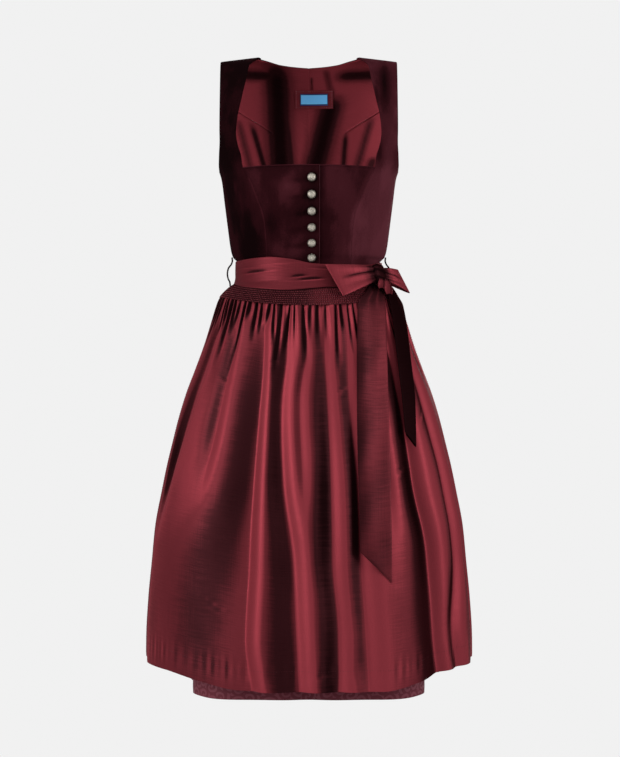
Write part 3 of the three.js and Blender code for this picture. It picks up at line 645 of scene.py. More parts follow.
def between(tree, value, low, high, to_low=0.0, to_high=1.0, smooth=True):
    """Maps a value's range to another range."""
    settings = {"interpolation_type": "SMOOTHSTEP"} if smooth else {}
    inputs = {"Value": value, "From Min": low, "From Max": high, "To Min": to_low, "To Max": to_high}
    return node(tree, "ShaderNodeMapRange", inputs, **settings).outputs[0]


def mix_colour(tree, share, first, second):
    inputs = {"Factor": share, 6: first, 7: second}
    return node(tree, "ShaderNodeMix", inputs, data_type="RGBA").outputs[2]


def calculate(tree, how, first, second=0.0):
    return node(tree, "ShaderNodeMath", {0: first, 1: second}, operation=how).outputs[0]


def add(tree, *values):
    total = values[0]
    for value in values[1:]:
        total = calculate(tree, "ADD", total, value)
    return total


def bump(tree, height, distance, strength=1.0):
    made = node(tree, "ShaderNodeBump", {"Height": height, "Distance": distance, "Strength": strength})
    return made.outputs[0]


def ramp(tree, value, stops):
    """Colours along a value, eased from stop to stop."""
    made = node(tree, "ShaderNodeValToRGB", {"Fac": value})
    made.color_ramp.interpolation = "EASE"
    while len(made.color_ramp.elements) < len(stops):
        made.color_ramp.elements.new(0.5)
    for element, (place, colour) in zip(made.color_ramp.elements, stops):
        element.position, element.color = place, colour
    return made.outputs["Color"]


# %% Finishes of the cloth
def shot_taffeta(name, turn_low, turn_high, rough=0.46, light=1.0):
    """Taffeta whose colour is painted shade: its turn chooses between lit red and shaded black."""
    paint, tree = new_paint(name)
    cut = cut_place(tree)
    slubs = noise(tree, cut, 1.0, (22, 520, 1), 4.0)
    warp = noise(tree, cut, 1.0, (700, 14, 1), 2.0)
    patches = noise(tree, cut, 9.0, (1, 0.5, 1))
    turned = add(tree, mark(tree, "turn"), between(tree, patches, 0.3, 0.7, -0.04, 0.04))
    share = between(tree, turned, turn_low, turn_high, smooth=False)
    slub_threads = between(tree, slubs, 0.3, 0.7, -0.03, 0.03)
    warp_threads = between(tree, warp, 0.3, 0.7, -0.02, 0.02)
    share = add(tree, share, add(tree, slub_threads, warp_threads))
    stops = [(place, tuple(light * c for c in colour[:3]) + (1,)) for place, colour in TAFFETA_LIT_TO_SHADED]
    slub_rough = between(tree, slubs, 0.2, 0.8, rough - 0.05, rough + 0.07)
    dark_rough = between(tree, share, 0.45, 1.0, 0, 0.22)
    end_paint(
        tree, colour=ramp(tree, share, stops), metal=between(tree, share, 0.25, 0.7, 0.38, 0.9),
        rough=add(tree, slub_rough, dark_rough), gloss=0.06, edge=(0.5, 0.12, 0.15, 1),
        normal=bump(tree, slubs, 0.0004, 0.4),
    )
    return paint


def velvet_with_painted_light(name):
    """Cotton velvet: near black to wine by its turn mark, which holds painted light and shade along with some
    nap.
    """
    paint, tree = new_paint(name)
    place = own_place(tree)
    patches = noise(tree, place, 16.0, (1.5, 1.5, 0.7), 5.0)
    fine = noise(tree, place, 900.0, (1, 1, 0.6), 2.0)
    strokes = between(tree, patches, 0.36, 0.64, -0.12, 0.12)
    nap_and_light = add(tree, mark(tree, "turn"), strokes, between(tree, fine, 0.3, 0.7, -0.06, 0.06))
    # the ramp runs from painted shade, near black, to painted light, wine
    colour = ramp(tree, nap_and_light, [
        (0.0, (0.0045, 0.0011, 0.0014, 1)), (0.3, (0.018, 0.0030, 0.0044, 1)),
        (0.6, (0.044, 0.0080, 0.0115, 1)), (1.0, (0.092, 0.0200, 0.0280, 1)),
    ])
    end_paint(
        tree, colour=colour, rough=0.9, gloss=0.015, sheen=0.035, sheen_rough=0.3,
        sheen_tint=(0.6, 0.12, 0.16, 1), normal=bump(tree, fine, 0.0005, 0.3),
    )
    return paint


def scroll_jacquard(name):
    """Mauve jacquard: a smooth scroll curls round each cell's middle, on a dull ground."""
    paint, tree = new_paint(name)
    cut = cut_place(tree)
    wobble = node(tree, "ShaderNodeTexNoise", {"Vector": cut, "Scale": 34.0})
    moved = node(tree, "ShaderNodeVectorMath", {0: wobble.outputs["Color"]}, operation="SCALE")
    moved.inputs["Scale"].default_value = 0.010
    shifted = node(tree, "ShaderNodeVectorMath", {0: cut, 1: moved.outputs[0]}, operation="ADD").outputs[0]
    cells = node(
        tree, "ShaderNodeTexVoronoi", {"Vector": shifted, "Scale": 44.0, "Randomness": 0.6},
        voronoi_dimensions="2D",
    )
    arm = node(tree, "ShaderNodeVectorMath", {0: shifted, 1: cells.outputs["Position"]}, operation="SUBTRACT")
    parts = node(tree, "ShaderNodeSeparateXYZ", {0: arm.outputs[0]})
    round_it = calculate(tree, "ARCTAN2", parts.outputs["Y"], parts.outputs["X"])
    curl = calculate(tree, "MULTIPLY", cells.outputs["Distance"], 15.0)
    swirl = calculate(tree, "SINE", add(tree, calculate(tree, "MULTIPLY", round_it, 2.0), curl))
    scroll = between(tree, swirl, -0.1, 0.45)
    slubs = noise(tree, cut, 1.0, (60, 900, 1), 2.0)
    colour = mix_colour(tree, scroll, (0.120, 0.022, 0.032, 1), (0.172, 0.040, 0.055, 1))
    # painted shade: cloth turned away from the light in the folds is mixed towards near black
    painted_fold_shade = between(tree, mark(tree, "turn"), 0.1, 0.8, 0.0, 0.75)
    colour = mix_colour(tree, painted_fold_shade, colour, (0.032, 0.0085, 0.012, 1))
    end_paint(
        tree, colour=colour, rough=between(tree, scroll, 0.0, 1.0, 0.66, 0.46), gloss=0.12, sheen=0.04,
        sheen_rough=0.4, sheen_tint=(0.8, 0.5, 0.6, 1),
        normal=bump(tree, add(tree, scroll, slubs), 0.0002, 0.4),
    )
    return paint


APRON_TAFFETA = shot_taffeta("apron_taffeta", -0.06, 0.46)
TIE_TAFFETA = shot_taffeta("tie_taffeta", -0.25, 0.75, 0.42, 0.92)
LINING_TAFFETA = shot_taffeta("lining_taffeta", -0.05, 1.0, 0.5, 0.95)
BODICE_VELVET = velvet_with_painted_light("bodice_velvet")
SKIRT_JACQUARD = scroll_jacquard("skirt_jacquard")

# %% [markdown]
# ## Rules that repeat
#
# Stitches, corded threads and the petals of a button repeat one small shape along a line or round
# a middle. Geometry Nodes do that from a few named sizes, so one can change the spacing without
# touching the rest. Each tree is run once, and its result is kept as a plain mesh.

# %% Helpers for trees of geometry
def new_tree(name, **sizes):
    """A geometry tree, with a named input and a usual value for each of its sizes."""
    tree = bpy.data.node_groups.new(name, "GeometryNodeTree")
    tree.interface.new_socket("Geometry", in_out="INPUT", socket_type="NodeSocketGeometry")
    tree.interface.new_socket("Geometry", in_out="OUTPUT", socket_type="NodeSocketGeometry")
    for label, value in sizes.items():
        kind = "NodeSocketInt" if isinstance(value, int) else "NodeSocketFloat"
        tree.interface.new_socket(label, in_out="INPUT", socket_type=kind).default_value = value
    tree.interface.new_socket("Finish", in_out="INPUT", socket_type="NodeSocketMaterial")
    return tree, node(tree, "NodeGroupInput").outputs


def end_tree(tree, geometry, finish):
    real = node(tree, "GeometryNodeRealizeInstances", {"Geometry": geometry})
    painted = node(tree, "GeometryNodeSetMaterial", {"Geometry": real.outputs[0], "Material": finish})
    node(tree, "NodeGroupOutput", {"Geometry": painted.outputs[0]})


def run_tree(made, tree, **sizes):
    """Runs a tree on an object and keeps what it made as the object's plain mesh."""
    rule = made.modifiers.new("rule", "NODES")
    rule.node_group = tree
    for item in tree.interface.items_tree:
        if item.in_out == "INPUT" and item.name in sizes:
            rule[item.identifier] = sizes[item.name]
    result = bpy.data.meshes.new_from_object(made.evaluated_get(bpy.context.evaluated_depsgraph_get()))
    made.modifiers.remove(rule)
    made.data = result
    result.shade_smooth()
    return made


def lines_object(name, lines):
    """One object of open lines, each given as its points in millimetres."""
    points = np.concatenate(lines)
    edges, start = [], 0
    for line in lines:
        edges += [(start + i, start + i + 1) for i in range(len(line) - 1)]
        start += len(line)
    mesh = bpy.data.meshes.new(name)
    mesh.from_pydata((points * MM).tolist(), edges, [])
    return put_in_scene(name, mesh)


# %% Stitches and thread
def thread_paint(name, colour, rough=0.6):
    """Spun thread: its twist shows as fine changes of light."""
    paint, tree = new_paint(name)
    twist = noise(tree, own_place(tree), 1500.0)
    darker = tuple(0.45 * c for c in colour[:3]) + (1,)
    end_paint(
        tree, colour=mix_colour(tree, between(tree, twist, 0.3, 0.7), darker, colour), rough=rough,
        gloss=0.15, normal=bump(tree, twist, 0.0003, 0.5),
    )
    return paint


SHORTEST_STITCH, LONGEST_STITCH = 0.8, 1.15  # against the length that is asked for
stitches, given = new_tree("row_of_stitches", Spacing=0.003, Length=0.002, Thread=0.0005, Seed=3)
line = node(stitches, "GeometryNodeMeshToCurve", {"Mesh": given["Geometry"]})
along = {"Curve": line.outputs[0], "Length": given["Spacing"]}
spaced = node(stitches, "GeometryNodeResampleCurve", along, mode="LENGTH")
bead = node(stitches, "GeometryNodeMeshIcoSphere", {"Radius": 0.5, "Subdivisions": 1})
sizes = {"X": given["Length"], "Y": given["Thread"], "Z": given["Thread"]}
size = node(stitches, "ShaderNodeCombineXYZ", sizes)
limits = {2: SHORTEST_STITCH, 3: LONGEST_STITCH, "Seed": given["Seed"]}
vary = node(stitches, "FunctionNodeRandomValue", limits, data_type="FLOAT")
product = {0: size.outputs[0], "Scale": vary.outputs[1]}
scaled = node(stitches, "ShaderNodeVectorMath", product, operation="SCALE")
tangent = node(stitches, "GeometryNodeInputTangent")
turned = node(stitches, "FunctionNodeAlignRotationToVector", {"Vector": tangent.outputs[0]}, axis="X")
placed = node(
    stitches, "GeometryNodeInstanceOnPoints",
    {
        "Points": spaced.outputs[0], "Instance": bead.outputs[0], "Rotation": turned.outputs[0],
        "Scale": scaled.outputs[0],
    },
)
end_tree(stitches, placed.outputs[0], given["Finish"])


def sew_row(name, lines, paint, spacing, length, thread):
    """Rows of stitches along lines, as one piece that rides on the dress."""
    sizes = {"Spacing": spacing, "Length": length, "Thread": thread}
    fasten(run_tree(lines_object(name, lines), stitches, Finish=paint, **sizes))


# %% [markdown]
# ## Bodice
#
# The bodice is cut in eight: two fronts that lap under the buttons, side fronts with their straps,
# side backs and centre backs. Velvet is thick, so its edges sink where they are seamed. The right
# front also wrinkles a little where each button pulls on it.

# %% Bodice
BUTTON_X = 4.7
BUTTON_DOWN = [213, 240.5, 267.5, 293.5, 318.5, 341.5]
SEAM_SINK = 0.7
SEAM_SOFT = 2.2
WRINKLE = 0.7


def seam_turn(down):
    return SEAM_GAP / 2 / half_width_of(down)


def armhole_angle(down):
    """The armhole edge: straight down from the strap to its rounded bottom at the underarm."""
    straight = angle_of(ARM_EDGE_X, np.minimum(down, CHEST_DOWN - ARM_CURVE))
    into = np.clip((down - (CHEST_DOWN - ARM_CURVE)) / ARM_CURVE, 0, 1)
    return lerp(straight, np.pi / 2, 1 - np.sqrt(1 - into**2))


def front_seam_angle(down):
    return angle_of(read(FRONT_SEAM, "down", "x", down), down)


def back_seam_x(down):
    return np.where(down < BACK_SEAM["down"][0], ARM_EDGE_X, read(BACK_SEAM, "down", "x", down))


def behind(angle):
    return np.pi - angle


def sunk_at_edges(angle, half_width):
    """Velvet sinks towards the seams at both ends of its rows."""
    from_left = (angle - angle[:, :1]) * half_width
    from_right = (angle[:, -1:] - angle) * half_width
    return -SEAM_SINK * (bell(from_left / SEAM_SOFT) + bell(from_right / SEAM_SOFT))


def button_wrinkles(x, down):
    """Short creases that run from each button down and to the wearer's right."""
    total = 0
    for i, button in enumerate(BUTTON_DOWN):
        for fan in range(3):
            slope = 0.25 + 0.35 * fan + 0.2 * uneven(3 * i + fan)
            along = BUTTON_X - 6 - x
            off = (down - button - slope * along) / 2.6
            fade = ease(along, 0, 5) * (1 - ease(along, 12, 46 + 12 * uneven(i + fan)))
            total = total - WRINKLE * (0.7 + 0.3 * uneven(i * fan + 5)) * bell(off) * fade
    return total


def bodice_panel(down, left, right, columns, relief, inset=0):
    """A patch of the body between two edges, moved in by what lies over it."""
    t = np.linspace(0, 1, columns)
    angle = left[:, None] * (1 - t) + right[:, None] * t
    rows = down[:, None]
    course = course_at(rows) + 0 * angle
    out = relief(angle, rows) + sunk_at_edges(angle, half_width_of(rows)) - inset
    return on_body(angle, course, out)


# painted light across the front, and patches of painted light and shade mixed with nap
NAP_AND_LIGHT_ACROSS = table("x nap", [
    [-150, 0.06], [-122, 0.14], [-92, 0.20], [-78, 0.28], [-46, 0.42], [-12, 0.34], [14, 0.36],
    [40, 0.48], [66, 0.52], [80, 0.90], [125, 0.98], [150, 0.84],
])
NAP_AND_SHADE_PATCHES = table("x down width height nap", [
    [-34, 226, 24, 15, 0.22],
    [-20, 262, 12, 12, -0.16],
    [-58, 290, 16, 24, -0.14],
    [-30, 330, 22, 16, 0.10],
    [-98, 320, 12, 34, -0.12],
    [46, 226, 12, 18, 0.12],
    [34, 275, 14, 16, -0.14],
    [52, 325, 12, 24, 0.14],
    [92, 350, 20, 10, -0.30],
])
STRAP_LIGHT_AND_SHADE_BANDS = table("x down width height nap", [
    [126, 48, 8, 46, -0.44],
    [112, 110, 3.5, 60, -0.30],
    [146, 96, 5, 70, 0.14],
    [118, 168, 5, 22, -0.26],
])


def patches_of(rows, x, down):
    total = np.zeros(x.shape)
    for patch in each(rows):
        off = ((x - patch["x"]) / patch["width"]) ** 2
        off = off + ((down - patch["down"]) / patch["height"]) ** 2
        total = total + patch["nap"] * np.exp(-off)
    return total


def nap_and_painted_light(points):
    """Painted light and nap of the velvet: in front lighter to the wearer's left, with listed patches,
    painted highlights on the seams and painted shadows round the buttons; soft strokes of nap behind.
    """
    x, y, down = points[..., 0], points[..., 1], -points[..., 2]
    seam = read(FRONT_SEAM, "down", "x", down)
    across = np.abs(x) - ease(np.abs(x), 30, 76) * (seam - 76)
    across = np.sign(x) * np.where(np.abs(x) > 30, across, np.abs(x))
    trunk_light = read(NAP_AND_LIGHT_ACROSS, "x", "nap", across) + patches_of(NAP_AND_SHADE_PATCHES, x, down)
    seam_highlight = 0.62 * bell((np.abs(x) - seam) / 1.1) * ease(down, 196, 215)
    trunk_light = np.maximum(trunk_light, seam_highlight)
    # painted shadows round each button and beside it
    for button in BUTTON_DOWN:
        round_it = ((x - BUTTON_X) / 14) ** 2 + ((down - button) / 10) ** 2
        beside = ((x + 18) / 16) ** 2 + ((down - button - 5) / 4.5) ** 2
        trunk_light = trunk_light - 0.30 * np.exp(-round_it) - 0.16 * np.exp(-beside)
    # painted light on the straps: near black on the wearer's right, lighter towards the left, with bands of
    # painted light and shade
    strap_light = lerp(0.02, 0.62, ease(x, -20, 60)) + patches_of(STRAP_LIGHT_AND_SHADE_BANDS, x, down)
    front = lerp(strap_light, trunk_light, ease(down, 170, 206))
    behind_it = 0.40 + 0.08 * np.sin(x / 31 + 0.6) * np.sin(down / 57 + x / 90)
    return lerp(front, behind_it, ease(y, -5, 25))


ROLLED_EDGE = 0.8


def neck_edge(angle, rows):
    """The rolled edge at the neckline, and the small gathers that are eased in under it."""
    x = np.sin(angle) * half_width_of(rows)
    below = rows - NECK_EDGE_DOWN
    roll = ROLLED_EDGE * bell((below - 1.3) / 1.1) - 0.5 * bell((below - 3.6) / 0.8)
    tick = np.cos(x * 2 * np.pi / 5.2 + 2 * np.sin(x / 11))
    fade = 1 - ease(below, 8, 15 + 3 * np.sin(x / 7))
    ticks = -0.35 * np.clip(tick, 0, 1) ** 2 * ease(below, 3.5, 6) * fade
    return roll + ticks * (1 - ease(np.abs(x - 2), 44, 60))


def mirrored(points):
    """The other side of a pair: columns run backwards so that the cloth still faces out."""
    return points[:, ::-1] * np.array([-1, 1, 1])


def no_relief(angle, rows):
    return 0 * angle * rows


trunk = np.concatenate([np.linspace(NECK_EDGE_DOWN, 212, 36)[:-1], np.linspace(212, BODICE_END_DOWN, 84)])

right_front = bodice_panel(
    trunk, seam_turn(trunk) - front_seam_angle(trunk), angle_of(PLACKET_EDGE_X, trunk), 70,
    lambda angle, rows: neck_edge(angle, rows)
    + button_wrinkles(half_width_of(rows) * np.sin(angle), rows),
)


def lapped(angle, rows):
    """The left front dips under the right one where the two lap."""
    x = np.sin(angle) * half_width_of(rows)
    return neck_edge(angle, rows) - LAP_DEPTH * (1 - ease(x, PLACKET_EDGE_X + 1, PLACKET_EDGE_X + LAP_RAMP))


left_front = bodice_panel(
    trunk, angle_of(UNDERLAP_X, trunk), front_seam_angle(trunk) - seam_turn(trunk), 70, lapped,
)
for name, points in (("right", right_front), ("left", left_front)):
    # painted highlights on the rolled neck edge and, on the right front, on the placket's folded edge
    nap = np.maximum(nap_and_painted_light(points), 0.66 * bell((trunk[:, None] - NECK_EDGE_DOWN - 1.2) / 1.2))
    if name == "right":
        nap = np.maximum(nap, 0.95 * bell((points[..., 0] - PLACKET_EDGE_X + 0.7) / 0.9))
    sew_in(
        shell(f"velvet_front_{name}", points, VELVET, turn=nap), f"bodice_front_{name}",
        BODICE_VELVET,
    )

strap = np.concatenate([np.linspace(-RIDGE_RISE, 12, 24)[:-1], np.linspace(12, 186, 70)])
side_front = np.concatenate([strap, trunk])
side_front_seam = front_seam_angle(side_front) + seam_turn(side_front)
strap_inner = angle_of(read(STRAP_EDGE, "down", "x", side_front), np.maximum(side_front, 0))
side_front_left = bodice_panel(
    side_front, np.where(side_front >= NECK_EDGE_DOWN, side_front_seam, strap_inner),
    armhole_angle(np.maximum(side_front, 0)) - seam_turn(side_front), 44, no_relief,
)

SIDE_BACK_TOP_DOWN = 60.2


def side_back_panel(inset):
    rows = np.linspace(SIDE_BACK_TOP_DOWN, BODICE_END_DOWN, 110)
    left = behind(armhole_angle(rows)) + seam_turn(rows)
    right = behind(angle_of(back_seam_x(rows) + SEAM_GAP / 2, rows))
    return bodice_panel(rows, left, right, 44, no_relief, inset)


NECK_BLEND_DOWN = 48


def centre_back_panel(inset):
    """The centre back reaches the strap ridge: its top rows bend down from there to the neck."""
    columns = 60
    across = lerp(ARM_EDGE_X - SEAM_GAP / 2, SEAM_GAP / 2, np.linspace(0, 1, columns))
    neck = course_at_height(across, read(BACK_NECK, "x", "down", across))
    top = np.where(across < RIDGE_NECK_X, neck, 0.0)
    share = np.linspace(0, 1, 28)[:-1, None]
    upper_course = lerp(top[None, :], course_at(np.array(NECK_BLEND_DOWN, float)), share)
    upper_angle = np.broadcast_to(behind(angle_of(across, 0.0)), upper_course.shape)
    rows = np.concatenate([np.linspace(NECK_BLEND_DOWN, 115, 30)[:-1], np.linspace(115, BODICE_END_DOWN, 70)])
    t = np.linspace(0, 1, columns)
    left = behind(angle_of(back_seam_x(rows) - SEAM_GAP / 2, rows))[:, None]
    right = behind(seam_turn(rows))[:, None]
    lower_angle = left * (1 - t) + right * t
    lower_course = course_at(rows)[:, None] + 0 * lower_angle
    angle = np.concatenate([upper_angle, lower_angle])
    course = np.concatenate([upper_course, lower_course])
    half_width = half_width_of(course_down(course))
    return on_body(angle, course, sunk_at_edges(angle, half_width) - inset)


LINING_INSET = VELVET + LINING_GAP
pairs = {
    "bodice_side_front": (side_front_left, (0.12, 0.42), 0.031),
    "bodice_side_back": (side_back_panel(0), (0.16, 0.31), 0.036),
    "bodice_back": (centre_back_panel(0), (0.16, 0.40), 0.034),
}
for name, (points, cut, area) in pairs.items():
    for side, shape in (("left", points), ("right", mirrored(points))):
        sew_in(
            shell(f"velvet_{name[7:]}_{side}", shape, VELVET, turn=nap_and_painted_light(shape)), f"{name}_{side}",
            BODICE_VELVET,
        )

EDGE_THREAD = thread_paint("edge_thread", (0.085, 0.022, 0.030, 1), 0.6)
edge_down = np.linspace(NECK_EDGE_DOWN + 2, 341, 120)
edge_angle = angle_of(PLACKET_EDGE_X - 0.8 + 0 * edge_down, edge_down)
edge_row = on_body(edge_angle, course_at(edge_down), 0.15 + 0 * edge_down)
sew_row("placket_stitches", [edge_row], EDGE_THREAD, 0.0021, 0.0019, 0.0009)

# %% [markdown]
# ## Buttons
#
# The six buttons are cast in antique silver: a low dome with a small flower in the middle and a
# beaded rim. Silver goes black in its hollows and stays bright where fingers polish it, so the
# tree marks petals and beads, and the finish reads that mark.

# %% Buttons: finish and rule
def antique_silver(name):
    paint, tree = new_paint(name)
    spots = noise(tree, own_place(tree), 900.0, (1, 1, 1), 3.0)
    worn = add(tree, mark(tree, "relief"), between(tree, spots, 0.3, 0.7, -0.22, 0.22))
    colour = ramp(tree, worn, [
        (0.0, (0.018, 0.013, 0.010, 1)), (0.4, (0.12, 0.10, 0.080, 1)),
        (0.7, (0.46, 0.41, 0.34, 1)), (1.0, (0.74, 0.69, 0.60, 1)),
    ])
    end_paint(
        tree, colour=colour, metal=0.75, rough=between(tree, spots, 0.3, 0.7, 0.30, 0.48), gloss=0.4,
        normal=bump(tree, spots, 0.00012, 0.5),
    )
    return paint


rosette, given = new_tree("silver_rosette", Petals=6, Leaves=12, Beads=26, Radius=0.007)


def ring_of(tree, count, radius, height, size, relief, turn=0.0):
    """A round of small lobes, each one turned to the middle."""
    far = node(tree, "ShaderNodeMath", {0: given["Radius"], 1: radius}, operation="MULTIPLY")
    circle = node(tree, "GeometryNodeMeshCircle", {"Vertices": count, "Radius": far.outputs[0]})
    lobe = node(tree, "GeometryNodeMeshIcoSphere", {"Radius": 1.0, "Subdivisions": 2})
    marked = node(
        tree, "GeometryNodeStoreNamedAttribute",
        {"Geometry": lobe.outputs[0], "Name": "relief", "Value": relief}, data_type="FLOAT", domain="POINT",
    )
    position = node(tree, "GeometryNodeInputPosition").outputs[0]
    outward = node(tree, "FunctionNodeAlignRotationToVector", {"Vector": position}, axis="X")
    lobes = node(
        tree, "GeometryNodeInstanceOnPoints",
        {
            "Points": circle.outputs[0], "Instance": marked.outputs[0], "Rotation": outward.outputs[0],
            "Scale": size,
        },
    )
    return node(
        tree, "GeometryNodeTransform",
        {"Geometry": lobes.outputs[0], "Translation": (0, 0, height), "Rotation": (0, 0, turn)},
    ).outputs[0]


joined = node(rosette, "GeometryNodeJoinGeometry")
for part in (
    given["Geometry"],
    ring_of(rosette, given["Petals"], 0.25, 0.0041, (0.0013, 0.0008, 0.0005), 0.95),
    ring_of(rosette, given["Leaves"], 0.50, 0.0035, (0.0010, 0.00055, 0.00035), 0.7, 0.26),
    ring_of(rosette, given["Beads"], 0.86, 0.0021, (0.00055, 0.0006, 0.00055), 0.95),
    ring_of(rosette, 3, 0.04, 0.0043, (0.0005, 0.0005, 0.0004), 0.6),
):
    rosette.links.new(part, joined.inputs[0])
end_tree(rosette, joined.outputs[0], given["Finish"])

# %% Buttons: six of them
BUTTON_PROFILE = [  # radius and height, from the back round the rim to the middle
    (0, 0), (5.2, 0), (6.9, 1.2), (7.0, 1.7), (6.5, 2.4), (5.9, 2.7), (4.9, 3.3), (3.2, 3.9),
    (1.6, 4.0), (0, 4.0),
]
BUTTON_RELIEF = [0, 0, 0.25, 0.5, 0.30, 0.05, 0.75, 0.70, 0.10, 0.15]
SILVER = antique_silver("antique_silver")


def button_blank(name):
    """The plain dome that the rule decorates, turned from its profile."""
    turns = 48
    points, faces = [], []
    for radius, height in BUTTON_PROFILE[1:-1]:
        points += [
            (radius * math.cos(2 * math.pi * i / turns), radius * math.sin(2 * math.pi * i / turns), height)
            for i in range(turns)
        ]
    rows = len(BUTTON_PROFILE) - 2
    for row in range(rows - 1):
        for i in range(turns):
            a, b = row * turns + i, row * turns + (i + 1) % turns
            faces.append((a, b, b + turns, a + turns))
    points += [(0, 0, 0), (0, 0, BUTTON_PROFILE[-1][1])]
    faces += [(rows * turns, (i + 1) % turns, i) for i in range(turns)]
    last = (rows - 1) * turns
    faces += [(rows * turns + 1, last + i, last + (i + 1) % turns) for i in range(turns)]
    mesh = bpy.data.meshes.new(name)
    mesh.from_pydata((np.array(points, float) * MM).tolist(), [], faces)
    marks = mesh.attributes.new("relief", "FLOAT", "POINT")
    levels = [BUTTON_RELIEF[1 + row] for row in range(rows) for _ in range(turns)] + [0, BUTTON_RELIEF[-1]]
    marks.data.foreach_set("value", levels)
    return put_in_scene(name, mesh)


for i, button_down in enumerate(BUTTON_DOWN):
    low, high = (np.array(corner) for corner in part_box(f"button_{i + 1}"))
    angle = angle_of(BUTTON_X, float(button_down))
    seat = on_body(angle, course_at(float(button_down)), 0.0)
    facing = Vector(on_body(angle, course_at(float(button_down)), 1.0) - seat).normalized()
    button = run_tree(button_blank(f"silver_button_{i + 1}"), rosette, Finish=SILVER)
    turn = facing.to_track_quat("Z", "Y").to_matrix().to_4x4()
    button.data.transform(turn)
    corners = np.array([v.co for v in button.data.vertices])
    shift = (low + high) / 2 - (corners.min(0) + corners.max(0)) / 2
    for vertex in button.data.vertices:
        vertex.co += Vector(shift)
    fasten(button, f"button_{i + 1}")

# %% [markdown]
# ## Back lining
#
# Through the neck one looks at the inside of the back: the same shot taffeta, a little duller.
# It lies in soft upright waves with painted shade on one side, and its seams show as fine ridges.
# Here the inner face is the one that shows, so it carries the detail.

# %% Back lining
# bands of painted shade: where each starts and ends, its half width, and how dark it is
LINING_BANDS = table("xTop top xBottom bottom width dark", [
    [-56, 6, -47, 205, 21, 1.0],
    [-38, 100, -28, 205, 8, 0.7],
    [42, 56, 2, 205, 20, 0.95],
    [30, 10, 40, 50, 6, 0.45],
    [-122, 96, -100, 180, 6, 0.5],
    [-98, 104, -68, 205, 5, 0.85],
    [108, 92, 84, 175, 7, 0.55],
    [64, 118, 58, 205, 4.5, 0.8],
    [112, 158, 98, 205, 8, 0.7],
    [5, 20, 5, 40, 2, 0.6],
])


def lining_shade(points):
    """Painted shade of the lining in dark bands: from 0, red, to 1, black."""
    x, down = points[..., 0], -points[..., 2]
    shade = np.zeros(x.shape)
    for band in each(LINING_BANDS):
        share = (down - band["top"]) / (band["bottom"] - band["top"])
        off = (x - lerp(band["xTop"], band["xBottom"], share)) / band["width"]
        fade = ease(share, -0.12, 0.12) * (1 - ease(share, 0.98, 1.1))
        shade = np.maximum(shade, band["dark"] * np.exp(-np.abs(off) ** 2.1) * fade)
    shoulder_shadow = bell((down - 20) / 8) * ease(np.abs(x), 34, 70) * 0.8
    neck_edge_light = 0.35 * bell((down + ridge_height(x) - 3) / 2.5)
    return np.maximum(shade, shoulder_shadow) - neck_edge_light


def lining_pair(name, points):
    for side, shape in (("left", points), ("right", mirrored(points))):
        _, _, normal = grid_directions(shape)
        inner = shape - normal * LINING
        shade = lining_shade(inner)
        inner = inner - normal * (0.35 - 0.35 * shade)[..., None]
        piece = shell(f"{name}_{side}_cloth", shape, LINING, turn=shade, inner=inner)
        sew_in(
            piece, f"{name}_{side}", LINING_TAFFETA,
        )


lining_pair("lining_back", centre_back_panel(LINING_INSET))
lining_pair("lining_side_back", side_back_panel(LINING_INSET))

# %% [markdown]
# ## Skirt
#
# The skirt shows as a strip below the apron, and all of it behind. Its front hangs in a few soft
# waves. Behind, it is laid in pleats at the waist that open towards the hem, each a little
# different from the next.

# %% Skirt
SKIRT_SIDE = math.radians(100)
SIDE_SEAM_REACH = 0.0006  # how far front and back reach over each other there, in radians
BACK_PLEATS = 28
FRONT_FOLDS = 8


def skirt_piece(name, start, end, folds, per_fold, depth_at, rows):
    """One skirt panel: folds are rounded waves whose valleys lie at every second fold line."""
    t = np.linspace(0, 1, folds * per_fold + 1)
    angle = (lerp(start, end, t))[None, :] + 0 * rows[:, None]
    depth = depth_at(t * folds, rows[:, None])
    outer = on_skirt(angle, rows[:, None] + 0 * angle, -depth)
    form = on_skirt(angle, rows[:, None] + 0 * angle, 0 * depth)
    keep = np.unique(np.linspace(0, len(rows) - 1, 26).round().astype(int))
    return shell(name, outer, SKIRT_CLOTH, form, inner_rows=keep)


def wave(place, sharp):
    """0 at the ridge between two folds, 1 in the valley at each whole number."""
    return (0.5 + 0.5 * np.cos(2 * np.pi * place)) ** sharp


def front_depth(place, down):
    own = 0.8 + 0.4 * uneven(2 * np.round(place))
    return (1 + 4 * ease(down, 380, 900)) * own * wave(place, 1.0)


def back_depth(place, down):
    """Pleats behind; at the side seams they lie as deep as the front they are sewn to."""
    deep = 1.5 + 6 * ease(down, 370, 430) + 8 * ease(down, 430, 1000)
    shift = 0.10 * np.sin(place * 2.3 + down / 160) * ease(down, 430, 1000)
    near = np.round(place + shift)
    pleats = deep * (1 + 0.3 * uneven(2 * near)) * wave(place + shift, 1.35)
    from_seam = np.minimum(place, BACK_PLEATS - place)
    at_seam = front_depth(np.where(place < BACK_PLEATS / 2, FRONT_FOLDS, 0), down)
    return lerp(at_seam, pleats, ease(from_seam, 0.1, 0.5))


skirt_rows = np.concatenate([np.linspace(368.15, 430, 26)[:-1], np.linspace(430, SKIRT_HEM_DOWN, 60)])
skirt_front = skirt_piece(
    "skirt_front_cloth", -SKIRT_SIDE - SIDE_SEAM_REACH, SKIRT_SIDE + SIDE_SEAM_REACH, FRONT_FOLDS, 22,
    front_depth, skirt_rows,
)
sew_in(
    skirt_front, "skirt_front", SKIRT_JACQUARD,
)

